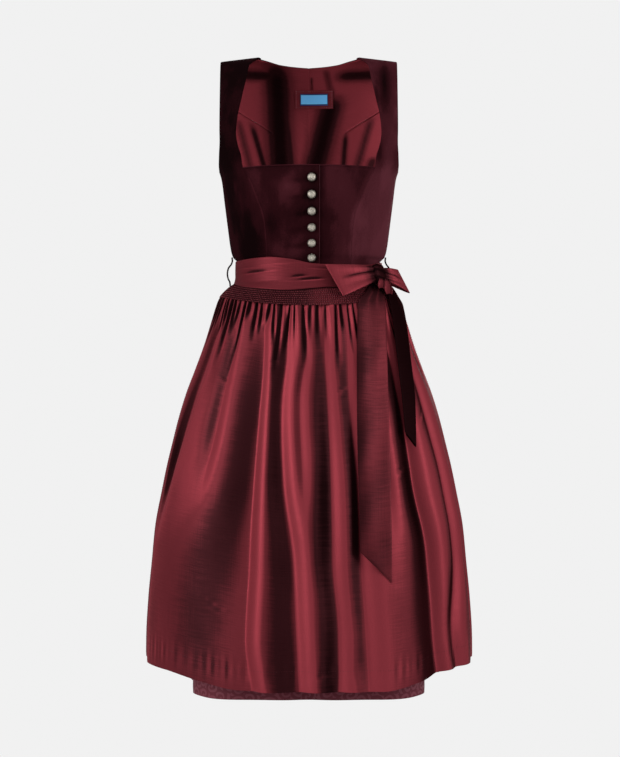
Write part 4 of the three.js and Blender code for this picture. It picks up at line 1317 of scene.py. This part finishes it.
BACK_SEAM_TURN = SEAM_GAP / 2 / 120
half = BACK_PLEATS // 2
for side, start, end, first in (
    ("left", SKIRT_SIDE - SIDE_SEAM_REACH, np.pi - BACK_SEAM_TURN, 0),
    ("right", np.pi + BACK_SEAM_TURN, 2 * np.pi - SKIRT_SIDE + SIDE_SEAM_REACH, half),
):
    skirt_back = skirt_piece(
        f"skirt_back_{side}_cloth", start, end, half, 18,
        lambda place, down, first=first: back_depth(place + first, down), skirt_rows,
    )
    sew_in(
        skirt_back, f"skirt_back_{side}", SKIRT_JACQUARD,
    )

# %% [markdown]
# ## Apron
#
# The apron starts with a waistband that hides under the tie. Below it the cloth is smocked: rows
# of stitches hold it in tiny pleats. Where the last row ends it springs out into gathers, which
# join into a dozen large folds that fall unevenly to the hem. Each fold is given one by one: where it
# lies at seven heights, how deep it is, and how steep its two sides are.

# %% Apron: waistband and smocking
APRON_SIDE_DEG = 97
APRON_SIDE = math.radians(APRON_SIDE_DEG)
SMOCKING_TUCK = 2.4
WAISTBAND_TUCK = 4
SMOCKING_RELIEF = 1.3
TINY_PLEATS = 150
STITCH_ROWS = 8


def tie_top(angle):
    return read(TIE_EDGE, "deg", "top", np.degrees(angle))


def tie_bottom(angle):
    return read(TIE_EDGE, "deg", "bottom", np.degrees(angle))


def band_top(angle):
    return tie_bottom(angle) - 9


def band_bottom(angle):
    return lerp(421, 403, np.sin(angle) ** 2)


def hem_down(angle):
    return read(APRON_HEM, "deg", "down", np.abs(np.degrees(angle)))


def edge_grid(start, end, columns, rows, upper, lower):
    """Angles and heights of a grid between two edges that change round the body."""
    angle = np.linspace(start, end, columns)[None, :] + np.zeros((rows, 1))
    share = np.linspace(0, 1, rows)[:, None] + 0 * angle
    return angle, share, lerp(upper(angle), lower(angle), share)


def stitch_line(row):
    """How far down the smocking a row of stitches lies, from 0 to 1."""
    return 0.28 + 0.68 * row / (STITCH_ROWS - 1)


def tucked_under(share):
    """The smocking's top lies deeper, because the tie goes over it."""
    return SMOCKING_TUCK * (1 - ease(share, 0.20, 0.36))


angle, share, down = edge_grid(
    -APRON_SIDE, APRON_SIDE, 120, 12, lambda a: tie_top(a) + 12, lambda a: band_top(a) - SEAM_GAP,
)
waistband = on_outer(angle, down, 0 * angle + TAFFETA - WAISTBAND_TUCK)
sew_in(
    shell("waistband_cloth", waistband, TAFFETA), "apron_waistband", APRON_TAFFETA,
)

angle, share, down = edge_grid(
    -APRON_SIDE, APRON_SIDE, TINY_PLEATS * 6 + 1, 40, band_top, band_bottom,
)
place = (np.degrees(angle) + APRON_SIDE_DEG) / (2 * APRON_SIDE_DEG) * TINY_PLEATS
pinched = np.zeros(share.shape)
for row in range(STITCH_ROWS):
    pinched = np.maximum(pinched, bell((share - stitch_line(row)) / 0.022))
tucked = tucked_under(share)
ribs = SMOCKING_RELIEF * (0.5 - 0.5 * np.cos(2 * np.pi * place))
smocking = on_outer(angle, down, ribs * (1 - 0.45 * pinched) - SMOCKING_RELIEF - tucked - 0.35 * pinched)
SMOCKING_TAFFETA = shot_taffeta("smocking_taffeta", -0.1, 1.0, 0.5)
# painted shade: darker in the pinched stitch rows and between the ribs, lighter on the ribs and to the
# wearer's left of the middle
smocking_painted_shade = 0.66 - 0.24 * ease(np.degrees(angle), -6, 6) + 0.30 * pinched - 0.12 * ribs / SMOCKING_RELIEF
inner_side = on_outer(angle, down, -SMOCKING_RELIEF - TAFFETA - tucked)
sew_in(
    shell(
        "smocking_cloth", smocking, TAFFETA, turn=smocking_painted_shade,
        inner=inner_side, inner_rows=[0, 8, 11, 14, 26, 39],
    ),
    "apron_smocking", SMOCKING_TAFFETA,
)

SMOCK_THREAD = thread_paint("smocking_thread", (0.30, 0.050, 0.065, 1), 0.45)
stitch_turn = np.linspace(-APRON_SIDE + 0.02, APRON_SIDE - 0.02, 260)
smocking_rows = []
for row in range(1, STITCH_ROWS):
    row_down = lerp(band_top(stitch_turn), band_bottom(stitch_turn), stitch_line(row))
    tuck = tucked_under(stitch_line(row))
    smocking_rows.append(on_outer(stitch_turn, row_down, 0 * stitch_turn - tuck - 0.45))
sew_row("smocking_stitches", smocking_rows, SMOCK_THREAD, 0.0029, 0.0021, 0.0010)

# %% Apron: the gathered panel
# where the bottom of each fold lies (degrees) at seven heights, how deep it is, how wide its left
# side is at the top and at the hem, how wide its right side is, and how far down it ends
FOLD_HEIGHTS = [421, 478, 576, 704, 829, 954, 1040]
FOLDS = table("at421 at478 at576 at704 at829 at954 at1040 depth left leftHem right ends", [
    [-86, -86, -85, -84, -84, -84, -84, 13, 6, 6, 4, 2000],
    [-66, -63, -64.7, -71, -73, -74, -74, 10, 5, 5, 3.4, 780],
    [-48, -44, -42.6, -44.5, -47, -49, -50, 10, 5, 5, 3.4, 720],
    [-30, -25, -22.5, -22.2, -22, -22.6, -20, 19, 10, 32, 3.2, 2000],
    [-14, -11, -12, -10, -5.6, -4.1, -3.1, 16.5, 6, 7.5, 3.6, 2000],
    [-3, -0.9, -3.8, -2.1, -1, 0, 0, 6, 3, 3, 2.6, 760],
    [8, 8.1, 8.4, 8.7, 8.6, 10.2, 10.2, 15, 5, 5.5, 3.6, 2000],
    [22, 21, 18.4, 19.4, 19, 20, 21, 14, 5, 6, 3.6, 1100],
    [31, 29, 31, 31, 31, 33, 35, 6, 4, 4, 3.4, 800],
    [45, 47, 46, 46, 49.5, 50, 53, 18, 6, 9, 3.8, 2000],
    [64, 63, 63, 67, 68, 61, 66, 11, 5, 6, 4, 2000],
    [86, 86, 85, 84, 84, 84, 84, 13, 5, 5, 5, 2000],
])
GATHERS = 44


def fold_path(fold, down):
    """Where a fold's bottom lies at this height, on a smooth curve through its places."""
    rows = {"down": np.array(FOLD_HEIGHTS, float), "deg": np.array([fold[f"at{h}"] for h in FOLD_HEIGHTS])}
    return read(rows, "down", "deg", down)


def trough(off, left, right):
    """1 at the bottom of a fold, falling off in its own way on its left and on its right side."""
    side = np.where(off < 0, left, right)
    return np.exp(-np.abs(off / side) ** 1.7)


def fold_depth(deg, down, share):
    total = np.zeros(deg.shape)
    for fold in each(FOLDS):
        left = lerp(fold["left"], fold["leftHem"], ease(share, 0.45, 0.95))
        lasting = 1 - ease(down, fold["ends"] - 110, fold["ends"] + 40)
        total += fold["depth"] * lasting * trough(deg - fold_path(fold, down), left, fold["right"])
    return total * (0.35 + 0.65 * ease(share, 0.03, 0.6))


def gather_depth(deg, share):
    """Narrow slots between the gathers, each with its own place, lean, length and depth."""
    total = np.zeros(deg.shape)
    for i in range(GATHERS):
        centre = lerp(-96, 96, (i + 0.5 + 0.32 * uneven(i)) / GATHERS)
        length = 0.15 + 0.09 * uneven(i + 7) + 0.10 * (uneven(i + 13) > 0.6)
        along = share / length
        off = deg - centre - (1.8 * uneven(i + 31) + 2.2 * uneven(i + 17) * along) * along
        width = (0.85 + 0.35 * uneven(i + 3)) * (1 + 1.8 * along)
        fade = (0.6 + 0.4 * ease(share, 0, 0.02)) * (1 - ease(share, 0.02, length))
        total += (3.6 + 1.4 * uneven(i)) * bell(off / width) * fade
    return total


# short dents pressed across the folds: place in degrees, height, tilt, half length in degrees, depth
DENTS = table("deg down tilt length depth", [
    [-17.7, 513, 0.25, 2.6, 1.1],
    [-43, 542, 0.4, 3.6, 1.2],
    [15.5, 558, -0.3, 2.0, 0.9],
    [-60, 640, 0.5, 3.5, 1.0],
    [38, 690, -0.4, 3.0, 1.0],
    [58, 600, -0.5, 3.2, 1.0],
    [-36, 905, 0.6, 5.5, 0.6],
    [4, 1012, 0.2, 2.0, 1.0],
])


def dents(deg, down):
    total = np.zeros(deg.shape)
    for dent in each(DENTS):
        off = down - dent["down"] - (deg - dent["deg"]) * 4 * dent["tilt"]
        fade = bell((deg - dent["deg"]) / dent["length"])
        total += 0.7 * dent["depth"] * fade * (bell(off / 3) - 0.6 * bell((off - 7) / 5))
    return total


# broad areas of painted light and shade on the apron, beyond what its folds give: a turn above 0 is darker,
# below 0 lighter
APRON_PAINTED_LIGHT = table("deg down lean width height turn", [
    [-42, 930, -0.030, 12, 170, 0.16],
    [-50, 700, -0.01, 9, 90, -0.10],
    [60, 720, 0.01, 8, 170, -0.14],
    [-6, 540, 0.01, 9, 60, 0.05],
    [16, 545, 0.01, 8, 60, 0.05],
    [-21, 510, 0.0, 7, 75, 0.08],
    [76, 930, 0.0, 8, 120, 0.06],
])


def apron_painted_light(deg, down):
    total = np.zeros(deg.shape)
    for place in each(APRON_PAINTED_LIGHT):
        off = (deg - place["deg"] - place["lean"] * (down - place["down"])) / place["width"]
        total += place["turn"] * np.exp(-(off**2) - ((down - place["down"]) / place["height"]) ** 2)
    return total


HEM_TURN = 30  # how deep the hem is turned up, and how far above the edge its stitches lie


def hem_pucker(deg, down, edge):
    """A faint step at the hem's stitches, with puckers that run up and down from them."""
    above = edge - down - HEM_TURN
    pull = np.sin(deg * 1.3 + 2.5 * np.sin(deg / 5)) * np.sin(deg * 0.41 + 1)
    return 0.25 * bell(above / 1.6) + 0.28 * pull * bell(above / 17)


angle, share, down = edge_grid(
    -APRON_SIDE, APRON_SIDE, 561, 130, lambda a: band_bottom(a) + SEAM_GAP, hem_down,
)
share = 0.35 * share + 0.65 * share**1.6
down = lerp(band_bottom(angle) + SEAM_GAP, hem_down(angle), share)
deg = np.degrees(angle)
gathers = gather_depth(deg, share)
depth = fold_depth(deg, down, share) + gathers + dents(deg, down) + hem_pucker(deg, down, hem_down(angle))
apron = on_outer(angle, down, -depth)
apron_form = on_outer(angle, down, 0 * depth)
keep = np.unique(np.concatenate([np.arange(0, 30, 3), np.linspace(30, 129, 24).round()]).astype(int))
# painted shade: by how the cloth faces away from the light, darker in the gather slots, plus the listed
# areas, and less of it near the apron's sides
apron_painted_shade = shade_from_facing(apron, apron_form) + 0.09 * gathers + apron_painted_light(deg, down)
apron_painted_shade = apron_painted_shade * (1 - 0.85 * ease(np.abs(deg), 76, 84))
apron_panel = shell("apron_cloth", apron, TAFFETA, turn=apron_painted_shade, inner_rows=keep)
sew_in(
    apron_panel, "apron_panel", APRON_TAFFETA,
)
print("apron triangles:", sum(len(p.vertices) - 2 for p in apron_panel.data.polygons))

HEM_THREAD = thread_paint("hem_thread", (0.10, 0.018, 0.024, 1), 0.5)
STITCH_OUT = 0.1


def on_apron(rows, columns):
    """Points of the apron's face, a stitch's small step out from the body."""
    return apron[rows, columns] + unit(apron_form[rows, columns] * np.array([1, 1, 0])) * STITCH_OUT


hem_row = []
for column in range(4, 557):
    at = int(np.argmin(np.abs(down[:, column] - (hem_down(angle[0, column]) - HEM_TURN))))
    hem_row.append(on_apron(at, column))
edge_rows = [np.array(hem_row), on_apron(slice(2, -1), 8), on_apron(slice(2, -1), -9)]
sew_row("apron_hem_stitches", edge_rows, HEM_THREAD, 0.0042, 0.0022, 0.0005)

# %% [markdown]
# ## Tie
#
# The tie is a soft band pulled round the waist. It is fuller in the middle than at its edges, and
# long shallow creases run along it, where it is pulled towards the bow.

# %% Tie
TIE_CREASES = table("deg down tilt depth length", [
    [-44, 364.5, -0.12, 1.1, 12],
    [-50, 356, -0.05, 0.35, 16],
    [-28, 351, -0.06, 0.35, 16],
    [-7, 373, -0.20, 1.1, 6.5],
    [2.5, 378, -0.15, 1.2, 10],
    [-24, 380, -0.05, 0.4, 12],
    [12, 360, 0.06, 0.5, 10],
    [30, 372, 0.12, 0.7, 10],
    [76, 362, 0.05, 0.5, 16],
    [120, 366, -0.06, 0.7, 16],
    [150, 356, 0.06, 0.6, 20],
    [185, 370, -0.05, 0.7, 18],
    [214, 358, 0.07, 0.5, 20],
    [240, 367, -0.06, 0.6, 14],
])


def tie_relief(angle, down, share):
    deg = np.degrees(angle)
    out = 0.7 * np.sin(np.pi * share) - 0.3
    creased = np.zeros(angle.shape)
    for crease in each(TIE_CREASES):
        line = crease["down"] + (deg - crease["deg"]) * crease["tilt"]
        off = (down - line) / 1.7
        off = np.where(off < 0, off * 0.45, off * 1.7)
        fade = bell((deg - crease["deg"]) / crease["length"])
        creased += crease["depth"] * bell(off) * fade
    return out - creased, creased


def tie_piece(name, start_deg, end_deg, columns):
    angle, share, down = edge_grid(
        math.radians(start_deg), math.radians(end_deg), columns, 44, tie_top, tie_bottom,
    )
    out, creased = tie_relief(angle, down, share)
    outer = on_outer(angle, down, out)
    form = on_outer(angle, down, 0 * angle)
    # painted shade: by how the cloth faces away from the light, and darker in its creases
    turn = shade_from_facing(outer, form) * 1.3 + 0.5 * np.maximum(0, creased - 0.2) + 0.02
    piece = shell(f"{name}_cloth", outer, TAFFETA, turn=turn)
    sew_in(piece, name, TIE_TAFFETA)


KNOT_DEG = 58
tie_piece("tie_front", -100, KNOT_DEG - 0.1, 180)
tie_piece("tie_left", KNOT_DEG + 0.1, 99.9, 50)
tie_piece("tie_back", 100.1, 259.8, 150)

# %% [markdown]
# ## Thread loops
#
# At each side seam a loop of corded thread holds the tie. It is three strands twisted round each
# other, so the tree lays three spirals along the loop's line.

# %% Thread loops
THIRD_TURN = 2.094  # a third of a full turn, in radians

corded, given = new_tree("twisted_cord", Radius=0.0015, Turns=900.0)
line = node(corded, "GeometryNodeMeshToCurve", {"Mesh": given["Geometry"]})
fine_line = node(
    corded, "GeometryNodeResampleCurve", {"Curve": line.outputs[0], "Length": 0.0006}, mode="LENGTH",
)
along = node(corded, "GeometryNodeSplineParameter").outputs["Length"]
tangent = node(corded, "GeometryNodeInputTangent").outputs[0]
sideways = node(corded, "ShaderNodeVectorMath", {0: tangent, 1: (0, 1, 0)}, operation="CROSS_PRODUCT")
strand_radius = calculate(corded, "MULTIPLY", given["Radius"], 0.5)
joined = node(corded, "GeometryNodeJoinGeometry")
for strand in range(3):
    turn = add(corded, calculate(corded, "MULTIPLY", along, given["Turns"]), strand * THIRD_TURN)
    aside = calculate(corded, "MULTIPLY", calculate(corded, "COSINE", turn), strand_radius)
    ahead = calculate(corded, "MULTIPLY", calculate(corded, "SINE", turn), strand_radius)
    aside = node(corded, "ShaderNodeVectorMath", {0: sideways.outputs[0], "Scale": aside}, operation="SCALE")
    ahead = node(corded, "ShaderNodeVectorMath", {0: (0, 1, 0), "Scale": ahead}, operation="SCALE")
    both = node(corded, "ShaderNodeVectorMath", {0: aside.outputs[0], 1: ahead.outputs[0]}, operation="ADD")
    moved = node(
        corded, "GeometryNodeSetPosition", {"Geometry": fine_line.outputs[0], "Offset": both.outputs[0]},
    )
    round_it = node(corded, "GeometryNodeCurvePrimitiveCircle", {"Resolution": 8, "Radius": strand_radius})
    tube = node(
        corded, "GeometryNodeCurveToMesh",
        {"Curve": moved.outputs[0], "Profile Curve": round_it.outputs[0], "Fill Caps": True},
    )
    corded.links.new(tube.outputs[0], joined.inputs[0])
end_tree(corded, joined.outputs[0], given["Finish"])

LOOP_LINE = table("step x down", [
    [0, 130.5, 335.5],
    [1, 129.9, 341],
    [2, 131.8, 347],
    [3, 136.7, 354],
    [4, 138.4, 363],
    [5, 137.2, 371],
    [6, 134.2, 377.5],
    [7, 133.5, 384],
])
LOOP_THREAD = thread_paint("loop_thread", (0.020, 0.008, 0.010, 1))
step = np.linspace(0, 7, 50)
for side, sign in (("right", -1), ("left", 1)):
    x, down = read(LOOP_LINE, "step", "x", step), read(LOOP_LINE, "step", "down", step)
    route = np.stack([sign * x, 0 * x, -down], -1)
    loop = run_tree(lines_object(f"corded_loop_{side}", [route]), corded, Finish=LOOP_THREAD)
    fasten(loop, f"thread_loop_{side}")

# %% [markdown]
# ## Bow
#
# A bow is two loops, a knot and two ends. A loop is one band that runs out from the knot, turns
# back and returns, so it is drawn as a strip that follows a small turn table. The short end hangs
# folded in two, the long end hangs flat.

# %% Bow: knot and loops
KNOT_DOWN = 367
KNOT_OUT = 14.2
KNOT_LEAN = math.radians(13)
KNOT_ACROSS, KNOT_THICK, KNOT_UP = 15, 7.5, 17.5

LOOP_TURN = table("step along out", [
    [0, 0, 2.4],
    [1, 0.18, 5],
    [2, 0.5, 6.6],
    [3, 0.8, 6],
    [4, 0.95, 4.4],
    [5, 1, 1.4],
    [6, 0.95, -1.6],
    [7, 0.75, -2.6],
    [8, 0.4, -2.8],
    [9, 0, -2.4],
])

knot_seat = on_outer(math.radians(KNOT_DEG), KNOT_DOWN, 0)
outward = on_outer(math.radians(KNOT_DEG), KNOT_DOWN, 1) - knot_seat
knot_across = np.cross([0, 0, 1], outward)
knot_out = outward * math.cos(KNOT_LEAN) - np.cross(knot_across, outward) * math.sin(KNOT_LEAN)
knot_up = np.cross(knot_out, knot_across)
knot_centre = knot_seat + outward * KNOT_OUT


def from_knot(across, out, up):
    across, out, up = (np.asarray(v, float)[..., None] for v in (across, out, up))
    return knot_centre + knot_across * across + knot_out * out + knot_up * up


def boxy(value):
    return np.sign(value) * np.abs(value) ** 0.72


def knot_piece():
    """A closed, pulled-in ball of cloth, creased where the band wraps over it."""
    turns, heights = 72, 40
    a = np.linspace(0, 2 * np.pi, turns, endpoint=False)[None, :]
    b = np.linspace(-np.pi / 2, np.pi / 2, heights + 2)[1:-1, None]
    crease = 1 - 0.07 * np.maximum(0, np.sin(5 * b * 2.2 + 1.5 * np.sin(a * 2))) * np.cos(b)
    across = boxy(np.cos(b) * np.sin(a)) * KNOT_ACROSS * crease
    out = boxy(np.cos(b) * np.cos(a)) * KNOT_THICK * crease
    up = boxy(np.sin(b)) * KNOT_UP + 0 * a
    points = from_knot(across, out, up)[::-1]
    numbers = np.arange(turns * heights).reshape(heights, turns)
    ring_numbers = np.concatenate([numbers, numbers[:, :1]], axis=1)
    faces = quads(ring_numbers)
    top, bottom = turns * heights, turns * heights + 1
    faces += [(top, ring_numbers[0, i], ring_numbers[0, i + 1]) for i in range(turns)]
    faces += [(bottom, ring_numbers[-1, i + 1], ring_numbers[-1, i]) for i in range(turns)]
    poles = from_knot([0, 0], [0, 0], [KNOT_UP, -KNOT_UP])
    points = np.concatenate([points.reshape(-1, 3), poles])
    places = np.stack([points[:, 0], points[:, 2]], 1) * MM
    shade = np.concatenate([(0.55 + 0.4 * (1 - crease[::-1]) / 0.07 + 0 * a).ravel(), [0.8, 0.8]])
    return make_mesh("bow_knot_cloth", points, faces, places, shade)


sew_in(knot_piece(), "bow_knot", TIE_TAFFETA)


def tuck_piece(name, across, up, half_width, length, out, lean):
    """A small folded bit of cloth that sticks out below the knot and curls to the front."""
    u, v = np.linspace(-1, 1, 21)[None, :], np.linspace(0, 1, 26)[:, None]
    width = half_width * (0.55 + 0.45 * ease(v, 0, 0.6)) * (1 - 0.25 * ease(v, 0.75, 1))
    sideways = across + lean * v * length + u * width
    drop = up - v * length - 1.6 * u * u * v
    curl = out + 2.4 * (1 - u * u) * np.sin(np.pi * (0.15 + 0.75 * v)) - 1.2 * v * v
    shade = 0.05 + 0.6 * bell((u - 0.35) / 0.14) * (1 - 0.4 * v) + 0.35 * (1 - ease(v, 0, 0.3))
    return band(name, from_knot(sideways, curl, drop), shade)


for i, tuck in enumerate(((-9, -10, 10, 16, 8.5, -0.10), (8, -10, 11, 25, 7.5, 0.08))):
    bit = tuck_piece(f"bow_tuck_{i + 1}", *tuck)
    bit.data.materials.append(TIE_TAFFETA)
    fasten(bit)


def loop_piece(name, root, fold, out_root, out_fold, flipped):
    """root and fold give the top and bottom point of the loop's two end lines."""
    u = np.linspace(0, 1, 40)[None, :]
    v = np.linspace(0, 9, 90)[:, None]
    across = (1 - u if flipped else u) + 0 * v
    reach_out = read(LOOP_TURN, "step", "along", v) + 0 * u
    gather = 0.8 * (1 - reach_out) * np.sin(5 * np.pi * across)
    crease = 0.5 * bell((across - 0.3 - 0.2 * reach_out) / 0.05) * (1 - ease(reach_out, 0.5, 0.9))
    bend = read(LOOP_TURN, "step", "out", v) + (gather - crease) * np.sign(4.5 - v)
    start = root[0] + (root[1] - root[0]) * across[..., None]
    end = fold[0] + (fold[1] - fold[0]) * across[..., None]
    out = out_root + (out_fold - out_root) * reach_out[..., None]
    middle = start + (end - start) * reach_out[..., None] + out * bend[..., None]
    shade = 0.55 * (1 - ease(reach_out, 0.0, 0.35)) + 0.5 * crease * 2 - 0.1
    return band(name, middle, shade)


beside = KNOT_ACROSS + 0.15
loops = {
    "bow_loop_right": (
        [from_knot(-beside, -1, 11), from_knot(-beside, -1, -13)],
        np.array([[27, -108, -354], [56, -117, -406]], float), np.array([0.25, -0.97, 0]), False,
    ),
    "bow_loop_left": (
        [from_knot(beside, -1, 11), from_knot(beside, -1, -13)],
        np.array([[148, -28, -358], [169, -23, -397]], float), np.array([0.6, -0.8, 0]), True,
    ),
}
for name, (root, fold, out_fold, flipped) in loops.items():
    piece = loop_piece(f"{name}_cloth", root, fold, knot_out, out_fold, flipped)
    cut = (0.052, 0.14) if name.endswith("right") else (0.040, 0.075)
    sew_in(piece, name, TIE_TAFFETA)

# %% Bow: the hanging ends
LONG_END = table("down left right out", [
    [381, 101, 121, 5.6],
    [400, 91, 122.5, 3],
    [412, 82, 125, 1.8],
    [430, 79.5, 126.8, 1.8],
    [520, 77.8, 128, 1.8],
    [622, 77.5, 129.8, 1.8],
    [720, 79.6, 132, 1.8],
    [868, 83, 133, 1.8],
])

SHORT_END = table("down left right", [
    [383.8, 120, 128.5],
    [402, 127, 143],
    [418, 130.5, 152.5],
    [518, 142.3, 165],
    [582, 149, 170.5],
    [655, 155, 171],
])

SHORT_FOLD = table("step across out", [
    [0, 0, 7.2],
    [1, 0.5, 7.2],
    [2, 0.94, 6.8],
    [3, 1.03, 5],
    [4, 0.94, 3.2],
    [5, 0.5, 2.8],
    [6, 0.2, 2.8],
])


def on_apron_front(x, down, out):
    return on_outer(np.arcsin(x / read(OUTER, "down", "halfWidth", down)), down, out)


u, v = np.linspace(0, 1, 40)[None, :], np.linspace(0, 1, 150)[:, None]
down = lerp(LONG_END["down"][0], lerp(818, 868, u), v)
left, right = (read(LONG_END, "down", side, down) for side in ("left", "right"))
out = read(LONG_END, "down", "out", down) + 0.8 * np.sin(2 * np.pi * u)
rumple = 0.8 * np.sin(down / 31 + 4 * u) * np.sin(down / 47) * ease(v, 0.1, 0.3)
middle = on_apron_front(lerp(left, right, u), down, out + rumple * (1 - (2 * u - 1) ** 2))
shade = 0.30 + 0.35 * (1 - ease(v, 0, 0.12)) * np.abs(np.sin(9 * u)) - 0.15 * u + 0.1 * rumple
sew_in(
    band("bow_end_long_cloth", middle, shade), "bow_end_long", TIE_TAFFETA,
)

u, v = np.linspace(0, 6, 48)[None, :], np.linspace(0, 1, 90)[:, None]
across = read(SHORT_FOLD, "step", "across", u)
down = lerp(SHORT_END["down"][0], lerp(628, 652, across), v)
left, right = (read(SHORT_END, "down", side, down) for side in ("left", "right"))
spread = np.minimum(1, 0.45 + 3 * v)
out = 5 + (read(SHORT_FOLD, "step", "out", u) - 5) * spread + 4 * (1 - ease(v, 0, 0.1))
middle = on_apron_front(lerp(left, right, across), down, out)
sew_in(
    band("bow_end_short_cloth", middle, 0.95 + 0 * down), "bow_end_short", TIE_TAFFETA,
)

# %% [markdown]
# ## Label
#
# The label is a small satin rectangle with a darker woven rim, sewn on a patch of lining. It stays
# blank.

# %% Label
LABEL_X = 9.5
LABEL_DOWN = 54
LINING_FACE = -VELVET - LINING_GAP - LINING


def on_lining(x, down, out):
    """A point behind the neck at a width and a height, moved out from the back's own form."""
    return on_body(behind(angle_of(x, 0.0)), course_at_height(x, down), out + 0 * x)


def label_layer(width, height, out, columns, rows):
    x = LABEL_X + (0.5 - np.linspace(0, 1, columns))[None, :] * width + np.zeros((rows, 1))
    down = LABEL_DOWN + (np.linspace(0, 1, rows)[:, None] - 0.5) * height + 0 * x
    return on_lining(x, down, out)


def blank_satin(name):
    """Sky-blue satin with a navy rim, from its own flat coordinates."""
    paint, tree = new_paint(name)
    cut = cut_place(tree)
    parts = node(tree, "ShaderNodeSeparateXYZ", {0: cut})
    side = calculate(tree, "ABSOLUTE", parts.outputs["X"])
    middle = calculate(tree, "SUBTRACT", parts.outputs["Y"], 0.010)
    height = calculate(tree, "ABSOLUTE", middle)
    rim_side, rim_height = between(tree, side, 0.0226, 0.0234), between(tree, height, 0.0076, 0.0084)
    rim = calculate(tree, "MAXIMUM", rim_side, rim_height)
    weave = noise(tree, cut, 1.0, (900, 300, 1))
    woven = between(tree, weave, 0.3, 0.7, 0, 0.25)
    blue = mix_colour(tree, woven, (0.14, 0.52, 0.95, 1), (0.22, 0.64, 1.0, 1))
    colour = mix_colour(tree, rim, blue, (0.012, 0.02, 0.12, 1))
    end_paint(tree, colour=colour, rough=0.45, gloss=0.5, normal=bump(tree, weave, 0.0002, 0.4))
    return paint


patch_points = label_layer(68, 31, LINING_FACE - 1.1, 36, 18)
sew_in(
    shell("label_patch_cloth", patch_points, 1.0, turn=np.full(patch_points.shape[:2], 0.15)),
    "label_patch", LINING_TAFFETA,
)
label_points = label_layer(50, 20, LINING_FACE - 2.6, 30, 14)
sew_in(
    shell("label_satin", label_points, 0.8), "label", blank_satin("blank_satin"),
)

LABEL_THREAD = thread_paint("label_thread", (0.30, 0.11, 0.13, 1))


def label_frame(width, height, out):
    """Lines round a rectangle on the label patch."""
    x = LABEL_X + np.array([-0.5, 0.5]) * width
    down = LABEL_DOWN + np.array([-0.5, 0.5]) * height
    lines = []
    for a, b in (((0, 0), (1, 0)), ((1, 0), (1, 1)), ((1, 1), (0, 1)), ((0, 1), (0, 0))):
        t = np.linspace(0, 1, 12)
        row_x, row_down = lerp(x[a[0]], x[b[0]], t), lerp(down[a[1]], down[b[1]], t)
        lines.append(on_lining(row_x, row_down, out))
    return lines


frame_lines = label_frame(64, 27, LINING_FACE - 2.2)
sew_row("label_patch_stitches", frame_lines, LABEL_THREAD, 0.0030, 0.0022, 0.0008)
